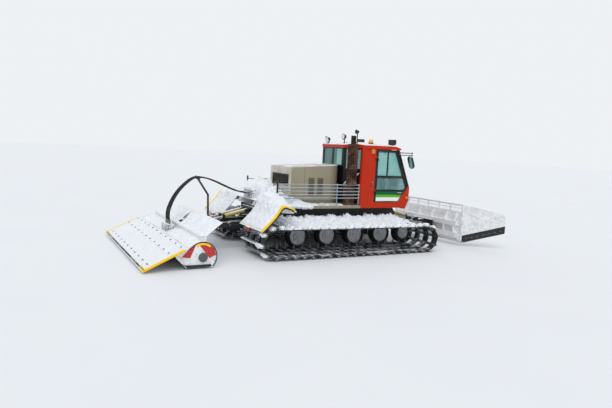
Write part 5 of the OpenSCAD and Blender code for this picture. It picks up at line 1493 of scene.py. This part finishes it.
# A black band round the hood's rim, and a black strip along the foot, which is painted shadow at the cap's lower
# edge.
foot = joined(cap_plate(arc_band(0.293, 0.3140, -42, 150, 60), 0.008), cap_plate(places_at(FOOT_SHADOW), 0.008))
piece("cap_foot", both(foot), FINISHES["seal_rubber"], "tiller")

BEARING_Y, BEARING_BOLTS = -2.2392, 0.076
bearing_ring = lathe([(0.041, 0.0), (0.098, 0.0), (0.098, 0.012), (0.082, 0.022), (0.055, 0.026),
                      (0.041, 0.026)], (REEL[0], BEARING_Y, REEL[1]), "y", 40)
bolt_places = [(REEL[0] + BEARING_BOLTS * math.cos(a), BEARING_Y, REEL[1] + BEARING_BOLTS * math.sin(a))
               for a in np.arange(6) * math.pi / 3]
bearing_bolts = copies(lathe([(0.011, 0.0), (0.011, 0.032)], ORIGIN, "y", 6), moves(bolt_places))
bearing = joined(bearing_ring, bearing_bolts)
bearing = (bearing[0] * (1, -1, 1) + (0, 2 * BEARING_Y, 0), bearing[1])
piece("tiller_bearings", both(bearing), FINISHES["engine_grey"], "tiller", smooth=True)


def on_ramp(run, out, y):
    """A place run metres along the mat's ramp and out metres off it."""
    x, z = ramp_top + ramp_way * run + ramp_out * out
    return (x, y, z)


def ramp_frame(run, out, y):
    """A matrix at a place on the mat: local X stands off the mat, local Z runs down it."""
    made = np.eye(4)
    made[:3, 0] = ramp_out[0], 0, ramp_out[1]
    made[:3, 2] = ramp_way[0], 0, ramp_way[1]
    made[:3, 3] = on_ramp(run, out, y)
    return made


STRIP_RUNS = (0.290, 0.560)
MAT_FACE = 0.0556
strip_y = np.arange(-2.10, 2.11, 0.42)
bar = prism([(0.0, -0.030), (0.010, -0.030), (0.013, -0.026), (0.013, 0.026), (0.010, 0.030), (0.0, 0.030)],
            -2.180, 2.180)
strips = copies(bar, [ramp_frame(run, MAT_FACE, 0.0) for run in STRIP_RUNS])
bolt_frames = [ramp_frame(run, 0.068, y) for run in STRIP_RUNS for y in strip_y]
piece("mat_strips", strips, FINISHES["blade_white"], "tiller")
piece("mat_bolts", copies(hexagon(0.017, 0.014), bolt_frames), FINISHES["edge_steel"], "tiller")
comb = prism([(0.0, -0.035), (0.008, -0.035), (0.005, 0.0), (0.0, 0.0)], -0.016, 0.016)
combs = copies(comb, [ramp_frame(1.175, MAT_FACE, y) for y in np.arange(-2.30, 2.31, 0.046)])
piece("mat_combs", combs, FINISHES["seal_rubber"], "tiller")
slot = prism([(0.0, -0.012), (0.007, -0.012), (0.007, 0.012), (0.0, 0.012)], -0.045, 0.045)
slots = copies(slot, [ramp_frame(1.02, MAT_FACE, y) for y in np.arange(-2.05, 2.06, 0.41)])
piece("mat_slots", slots, FINISHES["seal_rubber"], "tiller")
end_strip = prism([(-0.0305, 0.30), (0.0045, 0.30), (0.0045, 1.184), (-0.0305, 1.184)], -2.3495, -2.285)
corner_strip = prism([(0.0, 1.120), (0.0060, 1.120), (0.0060, 1.184), (0.0, 1.184)], -2.3495, -1.980)
edges = copies(joined(end_strip, corner_strip), [ramp_frame(0.0, 0.0555, 0.0)])
piece("mat_edges", both(edges), YELLOW, "tiller")
print("mat bolts:", len(bolt_frames))

# %% [markdown]
# ## Guard's edging
# The guard's outer edge carries a yellow strip over a black rubber lip, and two yellow strips run along
# its foot. Each is a small rectangle carried along the guard's own section line.


# %% Guard's edging
def strip_along(line, start, stop, low_y, high_y, low, high, step=0.03):
    """A bar that follows a section line from start to stop, between two heights over the line."""
    run, y, ground, normal = section_grid(line, np.array([low_y, high_y]), step)
    keep = (run[:, 0] >= start) & (run[:, 0] <= stop)
    ground, normal = ground[keep], normal[keep]
    rings = np.stack([ground[:, 0] + normal[:, 0] * low, ground[:, 1] + normal[:, 1] * low,
                      ground[:, 1] + normal[:, 1] * high, ground[:, 0] + normal[:, 0] * high], 1)
    return solid_grid(rings)


guard_long = float(np.linalg.norm(np.diff(guard_places, axis=0), axis=1).sum())
# Each strip: start and stop along the section, its two edges in y, and its two heights over the guard.
YELLOW_STRIPS = [(0.05, guard_long, -2.034, -1.985, -0.021, 0.013),
                 (guard_long - 0.13, guard_long - 0.09, -1.98, -0.76, 0.0, 0.012),
                 (guard_long - 0.05, guard_long - 0.005, -1.98, -0.76, 0.0, 0.012),
                 (0.30, 0.40, -1.960, -1.925, 0.0, 0.016)]
LIPS = [(0.05, guard_long, -2.034, -1.990, -0.055, -0.022),
        (guard_long - 0.088, guard_long - 0.052, -1.98, -0.76, 0.0, 0.010)]
yellow_strips = joined(*[strip_along(guard_places, *strip) for strip in YELLOW_STRIPS])
lips = joined(*[strip_along(guard_places, *strip) for strip in LIPS])
piece("guard_yellow", both(yellow_strips), YELLOW, "root")
piece("guard_lips", both(lips), FINISHES["seal_rubber"], "root")
print("guard's section is", round(guard_long, 2), "m long")

# %% [markdown]
# ## Seats
# A cushion is a sewn cover round foam. It could be a block with a bevel, but a real one is tight at its
# seams and full between them, so it is blown up as cloth: the block is remeshed into small even faces,
# pressure swells it while gravity is off, no point may move further than a set cap, and one subdivision
# smooths it. The remesh would swallow a thin seam, so the piping is laid on the swollen cover afterwards.

# %% Padded seats
SWELL_CAP, PRESSURE, VOXEL = 0.014, 5.0, 0.010


def points_of(mesh):
    """A mesh's points as an array of rows."""
    flat = np.empty(len(mesh.vertices) * 3)
    mesh.vertices.foreach_get("co", flat)
    return flat.reshape(-1, 3)


def apply_modifiers(made):
    """The mesh that the modifiers give, kept as the object's own."""
    graph = bpy.context.evaluated_depsgraph_get()
    mesh = bpy.data.meshes.new_from_object(made.evaluated_get(graph), depsgraph=graph)
    made.modifiers.clear()
    made.data = mesh


def swollen(name, shape, frames=16):
    """Remesh, swell with pressure, cap each point's way, then smooth once by subdivision."""
    made = piece(name, shape, FINISHES["seat_cloth"], None, smooth=True)
    remesh = made.modifiers.new("even", "REMESH")
    remesh.mode, remesh.voxel_size = "VOXEL", VOXEL
    apply_modifiers(made)
    start = points_of(made.data)
    cloth = made.modifiers.new("cloth", "CLOTH")
    cloth.settings.use_pressure, cloth.settings.uniform_pressure_force = True, PRESSURE
    cloth.settings.effector_weights.gravity = 0.0
    cloth.settings.quality = 5
    for frame_number in range(1, frames + 1):
        bpy.context.scene.frame_set(frame_number)
    apply_modifiers(made)
    bpy.context.scene.frame_set(1)
    way = points_of(made.data) - start
    length = np.linalg.norm(way, axis=1, keepdims=True)
    capped = start + way * np.minimum(1.0, SWELL_CAP / np.maximum(length, 1e-9))
    made.data.vertices.foreach_set("co", capped.ravel())
    finer = made.modifiers.new("finer", "SUBSURF")
    finer.levels = finer.render_levels = 1
    apply_modifiers(made)
    made.data.polygons.foreach_set("use_smooth", [True] * len(made.data.polygons))
    return made


def piping(made, outline, y):
    """A cord on the cover: the outline's points at this y, each moved to the nearest point of the cover."""
    corners = places_at(outline)
    steps = np.linspace(0.0, 1.0, 12, endpoint=False)[:, None]
    edges = [start + (end - start) * steps for start, end in zip(corners, np.roll(corners, -1, axis=0))]
    line = np.concatenate(edges + [corners[:1], corners[:1] + (corners[1] - corners[0]) / 24])
    near = [made.closest_point_on_mesh((x, y, z))[1] for x, z in line]
    return tube([tuple(point) for point in near], 0.0045, 8)


def seat_cloth():
    """Dark woven cloth with a paler panel down the middle of each seat."""
    finish = Finish("seat_cloth", 0.9)
    x, y, z = finish.axes()
    weave = (y * 900.0).math("SINE") * ((x + z) * 900.0).math("SINE")
    panel = abs(abs(y) - SEAT_Y) < 0.12
    tone = finish.mix(panel, colour("26292d"), colour("3d444c"))
    finish.set("Base Color", finish.mix(finish.noise(5.0).soft(0.3, 0.8) * 0.4, tone, colour("1c1e20")))
    finish.bump(weave, 0.0006)
    return finish.material


SEAT_W, SEAT_Y = 0.450, 0.42
FINISHES["seat_cloth"] = seat_cloth()
CUSHION = [(2.735, 1.495), (3.118, 1.495), (3.128, 1.580), (2.770, 1.580)]
BACK = [(2.590, 1.560), (2.730, 1.560), (2.645, 2.150), (2.568, 2.138)]
soft_pieces, seams = [], []
for side, name in SIDES:
    low, high = side * SEAT_Y - SEAT_W / 2, side * SEAT_Y + SEAT_W / 2
    for part, outline in (("cushion", CUSHION), ("back", BACK)):
        made = swollen("seat_%s_%s" % (part, name), prism(places_at(outline), low, high))
        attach(made, "root")
        soft_pieces.append(made)
        seams += [piping(made, outline, y) for y in (low + 0.012, high - 0.012)]
soft_faces = sum(len(made.data.polygons) for made in soft_pieces)
print("padded pieces:", len(soft_pieces), "with", soft_faces, "faces")

# %% [markdown]
# ## What carries the seats
# Each seat has a shell behind its back, a pan under its cushion, a tapered foot and two hinge knobs. They
# are drawn once about the seat's own middle and moved to both sides. The cords and belts come last.

# %% Seat frames, cords and belts
shell = prism(places_at([(2.545, 1.545), (2.575, 1.555), (2.550, 2.150), (2.542, 2.150)]), -0.20, 0.20)
pan = prism(places_at([(2.600, 1.470), (3.130, 1.470), (3.130, 1.482), (2.600, 1.482)]), -0.215, 0.215)
pedestal = prism(places_at([(2.690, 1.162), (3.050, 1.162), (3.010, 1.470), (2.730, 1.470)]), -0.15, 0.15)
knob = lathe([(0.014, 0.0), (0.014, 0.10)], (at(2.66), -0.23, 1.50), "y", 12)
seat = joined(shell, pan, pedestal, moved(knob, (0, -0.02, 0)), moved(knob, (0, 0.38, 0)))
stand = joined(*[moved(seat, (0, side * SEAT_Y, 0)) for side, name in SIDES])
seat_frames = piece("seat_frames", stand, FINISHES["dash_plastic"], "root", bevel=0.004)
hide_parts("seats")
belt_lines = [[(at(2.62), y + 0.22, 1.50), (at(2.60), y + 0.235, 1.80), (at(2.56), y + 0.20, 2.12)]
              for y in (-SEAT_Y, SEAT_Y)]
belts = joined(*[tube(line, 0.008, 8) for line in belt_lines])
piece("seat_piping", joined(*seams), FINISHES["lamp_black"], "root", smooth=True)
piece("seat_belts", belts, FINISHES["lamp_black"], "root", smooth=True)
print("cords:", len(seams), "and belts:", len(belt_lines))

# %% [markdown]
# ## Controls
# The driver sits on the left, behind two levers and a small wheel. The dashboard's screen, its row of
# switches and its air vents are plates on its sloping face.

# %% Controls
WHEEL_AT, WHEEL_TILT = (at(3.430), 0.42, 1.700), -55


def steering_wheel(radius=0.17, thick=0.013):
    """A torus with spokes, a boss and a column, about Z.

    The torus is p = R u + r (u cos a + z sin a), where u points from the middle to a place on the rim.
    """
    turn = np.arange(48) * math.pi / 24
    around = np.arange(10)[None, :, None] * math.pi / 5
    out = np.stack([np.cos(turn), np.sin(turn), 0 * turn], 1)[:, None]
    rings = radius * out + thick * (np.cos(around) * out + np.sin(around) * np.array([0, 0, 1.0]))
    rim = (rings.reshape(-1, 3), quads(48, 10, closed_rows=True))
    rays = [(math.cos(a), math.sin(a)) for a in (0.5, 2.6, 4.7)]
    lines = [[(0.02 * c, 0.02 * s, -0.02), (0.165 * c, 0.165 * s, 0.0)] for c, s in rays]
    spokes = [tube(line, 0.010, 8, (0, 0, 1)) for line in lines]
    boss = lathe([(0.04, -0.03), (0.04, 0.0), (0.03, 0.012), (0.01, 0.014)], ORIGIN, "z", 24)
    column = lathe([(0.022, -0.16), (0.022, -0.02)], ORIGIN, "z", 16)
    return joined(rim, *spokes, boss, column)


def lever(y):
    """A thin stalk with a rounded knob."""
    stalk = tube([(at(3.30), y, 1.43), (at(3.29), y, 1.50), (at(3.27), y, 1.57)], (0.022, 0.009, 0.009), 12)
    knob = lathe([(0.010, 0.0), (0.020, 0.012), (0.024, 0.045), (0.020, 0.085), (0.008, 0.095)],
                 (at(3.27), y, 1.56), "z", 16)
    return joined(stalk, knob)


wheel = turned(steering_wheel(), tilt_y(WHEEL_TILT), WHEEL_AT)
piece("steering_wheel", wheel, FINISHES["lamp_black"], "root", smooth=True)
levers = joined(*[lever(y) for y in (-0.05, 0.05)])
piece("levers", levers, FINISHES["lamp_black"], "root", smooth=True)
print("a steering wheel and two levers")

# %% Dashboard's fittings
dash_slope = np.array([0.240, 0.0, 0.080])
dash_at = np.array([at(3.560), 0.0, 1.560])
VENTS_Y = (-0.62, -0.46, 0.66)


def on_dash(shape, y, share):
    """A plate on the dashboard's slope, share of the way up it."""
    return on_wall(shape, dash_at + dash_slope * share + (0, y, 0.0), (0, -1, 0), dash_slope)


screen = on_dash(plate(rounded(0.26, 0.10, 0.012), 0.014, 0.004), 0.42, 0.5)
switch = plate(rounded(0.022, 0.036, 0.004), 0.012, 0.003)
switches = [on_dash(switch, y, 0.5) for y in np.arange(-0.30, 0.16, 0.05)]
vents = [on_dash(ring(rounded(0.11, 0.07, 0.02), 0.012, 0.008), y, 0.55) for y in VENTS_Y]
vane = plate(rounded(0.09, 0.006, 0.002), 0.006)
vanes = [on_dash(vane, y, 0.55 + shift) for y in VENTS_Y for shift in (-0.08, 0.0, 0.08)]
fittings = joined(screen, *switches, *vents, *vanes)
piece("dash_fittings", fittings, FINISHES["lamp_black"], "root")
print("switches:", len(switches))

# %% [markdown]
# ## Fastenings
# Bolts, rivets and clamps make a plain surface read as sheet metal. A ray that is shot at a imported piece
# gives the place and the direction of its surface, so a head sits true on any curve without a drawing.


# %% Heads on any surface
def surface_frames(node, starts, way):
    """Matrices whose X stands off the node's surface, one for each start whose ray hits it."""
    frames = []
    for start in starts:
        hit, place, normal, _ = frame["nodes"][node].ray_cast(Vector(start), Vector(way))
        if not hit:
            continue
        normal = np.array(normal)
        if normal @ np.array(way) > 0:
            normal = -normal
        side = np.cross(normal, [0.0, 0.0, 1.0] if abs(normal[2]) < 0.9 else [1.0, 0.0, 0.0])
        side /= np.linalg.norm(side)
        made = np.eye(4)
        made[:3, 0], made[:3, 1], made[:3, 2] = normal, side, np.cross(normal, side)
        made[:3, 3] = place
        frames.append(made)
    return frames


def heads(node, starts, way, radius=0.012, height=0.009, sides=6):
    """Hexagon heads with a washer each, sunk half a millimetre into the surface."""
    washer = lathe([(radius * 1.35, -0.0005), (radius * 1.35, 0.002)], ORIGIN, "x", 16)
    head = lathe([(radius, 0.0018), (radius, height * 0.8), (radius * 0.8, height)], ORIGIN, "x", sides)
    return copies(joined(washer, head), surface_frames(node, starts, way))


def rivets(node, starts, way, radius=0.006):
    """Low domes, sunk half a millimetre into the surface."""
    dome = lathe([(radius, -0.0005), (radius * 0.9, 0.002), (radius * 0.4, 0.0035)], ORIGIN, "x", 10)
    return copies(dome, surface_frames(node, starts, way))


print("heads are placed by rays on", len(frame["nodes"]), "nodes")

# %% Bolts, screws and rivets
TO_LEFT, FORWARD, BACKWARD = (0, 1, 0), (1, 0, 0), (-1, 0, 0)
points_made = []


def fasten(name, shape, body, material=STEEL):
    """One piece of fastenings, whose points are counted."""
    points_made.append(len(shape[0]))
    piece(name, shape, material, body, smooth=True)


def ring_of(centre, radius, turns):
    """Starts of rays on a circle about (x, z), well outside the right side."""
    return [(centre[0] + radius * math.cos(a), -2.6, centre[1] + radius * math.sin(a)) for a in turns]


edge_y = np.arange(-1.30, 1.31, 0.20)
edge_bolts = [heads("blade_edge", [(at(6.6), y, z) for y in edge_y], BACKWARD, 0.014, 0.010)
              for z in (0.145, 0.225)]
fasten("edge_bolts", joined(*edge_bolts), "blade")
cover_x = np.arange(at(0.66), at(1.96), 0.13)
screws = [rivets("engine_cover", [(x, -1.2, z) for x in cover_x], TO_LEFT, 0.007) for z in (1.975, 1.235)]
rear_spots = [(at(0.2), y, z) for y in (-0.555, -0.535) for z in (1.30, 1.45)]
screws.append(rivets("engine_cover", rear_spots, FORWARD, 0.007))
fasten("cover_screws", both(joined(*screws)), "root")
grille_spots = [(at(0.2), y, z) for y in np.linspace(-0.52, 0.52, 7) for z in (1.55, 1.89)]
fasten("grille_screws", heads("engine_cover", grille_spots, FORWARD, 0.007, 0.005), "root")
deck_spots = [(x, -1.3, 1.086) for x in np.arange(at(0.12), at(2.40), 0.19)]
fasten("deck_bolts", both(heads("deck", deck_spots, TO_LEFT, 0.010, 0.007)), "root")
upright = [(at(2.485), -1.3, z) for z in np.arange(1.25, 2.56, 0.10)]
level = [(x, -1.3, 1.185) for x in np.arange(at(2.52), at(3.90), 0.115)]
cab_rivets = joined(*[rivets("cab_side_right", spots, TO_LEFT, 0.005) for spots in (upright, level)])
fasten("cab_rivets", both(cab_rivets), "root", FINISHES["cab_red"])
sprocket_spots = ring_of(SPROCKET, 0.115, np.arange(8) * math.pi / 4)
sprocket_bolts = heads("drive_sprockets", sprocket_spots, TO_LEFT, 0.014, 0.012)
fasten("sprocket_bolts", both(sprocket_bolts), "root")
cap_spots = ring_of(REEL, 0.275, np.radians((-20, 5, 30, 140)))
fasten("cap_bolts", both(heads("tiller_hood", cap_spots, TO_LEFT, 0.009, 0.006)), "tiller")
shield_spots = [(at(-2.4), y, 0.86) for y in np.arange(-1.65, 1.66, 0.30)]
shield_bolts = heads("tiller_shield", shield_spots, (1, 0, -0.2), 0.010, 0.007)
fasten("shield_bolts", shield_bolts, "tiller")
for side, name in SIDES:
    spots = np.array([(WING_X + d * DIAGONAL, side * (WING_Y + d * DIAGONAL), 0.185 + WING_RISE * d)
                      for d in np.arange(0.14, 1.06, 0.15)])
    outer = np.array([-DIAGONAL, side * DIAGONAL, 0.0])
    pair = [heads("wing_" + name, spots + way * 0.5, -way, 0.012, 0.008) for way in (outer, -outer)]
    fasten("wing_bolts_" + name, joined(*pair), "wing_" + name)
print("fastenings:", sum(points_made), "points")

# %% [markdown]
# ## Rail clamps and cylinder glands
# A rail's tube is held by a short collar at each post. A gland is the screwed end of a cylinder's barrel:
# it is drawn about Z and set on the line between the cylinder's two eyes, and rides with its barrel.

# %% Rail clamps and cylinder glands
rail_z = 1.650 - 0.085 * np.arange(5)
clamp = lathe([(0.0175, -0.022), (0.0195, -0.018), (0.0195, 0.018), (0.0175, 0.022)], ORIGIN, "x", 16)
clamp_places = [(at(x), y, z) for x in (1.730, 2.390) for y in (-0.950, 0.950) for z in rail_z]
rail_clamps = copies(clamp, moves(clamp_places))
piece("rail_clamps", rail_clamps, FINISHES["rail_paint"], "root", smooth=True)


def on_line(shape, start, stop, y, share):
    """A shape drawn about Z, set at a share of the way between two (x, z) points."""
    start, stop = np.array(start), np.array(stop)
    run = (stop - start) / np.linalg.norm(stop - start)
    matrix = np.array([[run[1], 0, run[0]], [0, 1, 0], [-run[0], 0, run[1]]])
    place = start + (stop - start) * share
    return turned(shape, matrix, (at(place[0]), y, place[1]))


def gland():
    """The barrel's screwed end: two steps and a wiper ring, about Z."""
    return lathe([(0.0485, -0.05), (0.0525, -0.048), (0.0525, -0.006), (0.046, 0.0), (0.036, 0.002),
                  (0.036, 0.010), (0.0268, 0.012), (0.0268, -0.05)], ORIGIN, "z", 32)


CYLINDERS = [("lift_barrels", (3.970, 0.860), (5.015, 0.640), 0.180),
             ("tiller_barrels", (-0.430, 0.930), (-1.350, 0.700), 0.150)]
for name, start, stop, y in CYLINDERS:
    share = 0.58 + 0.060 / math.hypot(stop[0] - start[0], stop[1] - start[1])
    glands = joined(*[on_line(gland(), start, stop, side * y, share) for side in (-1, 1)])
    piece(name + "_glands", glands, FINISHES["edge_steel"], name, smooth=True)
clamp_top = np.array([[0, 0, 1, at(-1.640)],
                      [0, 1, 0, 0],
                      [1, 0, 0, 1.762],
                      [0, 0, 0, 1.0]])
clamp_snow = copies(clod(0.13, 0.036, 0.022, 4), [clamp_top])
piece("clamp_snow", clamp_snow, SNOW_PACK, "tiller", smooth=True)
print("glands on", 2 * len(CYLINDERS), "cylinders")

# %% [markdown]
# ## Floor and light
# The floor is a plain pale plane, and the sky is one even pale colour, which lights the machine from all
# sides as an overcast day does. A wide lamp from above and behind the camera gives shapes their shade.

# %% Floor, sky and lamps
PALE = (0.86, 0.88, 0.90, 1.0)


def floor_finish():
    """A pale floor that drifts a little in tone."""
    finish = Finish("floor", 0.9)
    drift = finish.noise(0.35, 3.0)
    finish.set("Base Color", finish.mix(drift, (0.80, 0.82, 0.85, 1.0), (0.84, 0.86, 0.88, 1.0)))
    return finish.material


def make_stage(reach=150.0):
    """A wide flat floor, which isn't part of the machine."""
    mesh = bpy.data.meshes.new("floor")
    corners = [(-reach, -reach, 0), (reach, -reach, 0), (reach, reach, 0), (-reach, reach, 0)]
    mesh.from_pydata(corners, [], [(0, 1, 2, 3)])
    floor = bpy.data.objects.new("floor", mesh)
    bpy.context.scene.collection.objects.link(floor)
    mesh.materials.append(floor_finish())


def make_sky(light, seen):
    """Even light; the camera, mirrors and glass see the paler backdrop instead."""
    world = bpy.data.worlds.new("sky")
    bpy.context.scene.world = world
    world.use_nodes = True
    tree = world.node_tree
    lit = tree.nodes["Background"]
    lit.inputs["Color"].default_value = (0.93, 0.96, 1.0, 1.0)
    lit.inputs["Strength"].default_value = light
    pale = tree.nodes.new("ShaderNodeBackground")
    pale.inputs["Color"].default_value = PALE
    pale.inputs["Strength"].default_value = seen
    ray = tree.nodes.new("ShaderNodeLightPath")
    camera_ray = Wire(tree, ray.outputs["Is Camera Ray"])
    any_ray = camera_ray.math("MAXIMUM", Wire(tree, ray.outputs["Is Glossy Ray"]))
    any_ray = any_ray.math("MAXIMUM", Wire(tree, ray.outputs["Is Transmission Ray"]))
    mix = tree.nodes.new("ShaderNodeMixShader")
    tree.links.new(any_ray.socket, mix.inputs[0])
    tree.links.new(lit.outputs[0], mix.inputs[1])
    tree.links.new(pale.outputs[0], mix.inputs[2])
    tree.links.new(mix.outputs[0], tree.nodes["World Output"].inputs["Surface"])


def daylight(name, place, strength):
    """Even soft light from the direction of a place, as wide as 50 degrees of sky."""
    light = bpy.data.lights.new(name, "SUN")
    light.energy, light.angle = strength, math.radians(50)
    made = bpy.data.objects.new(name, light)
    made.rotation_euler = Vector(place).to_track_quat("Z", "Y").to_euler()
    bpy.context.scene.collection.objects.link(made)


make_stage()
make_sky(0.66, 1.0)
daylight("high_light", (-6.0, -9.0, 12.0), 1.3)
daylight("far_light", (8.0, 9.0, 9.0), 0.3)
print("stage set")
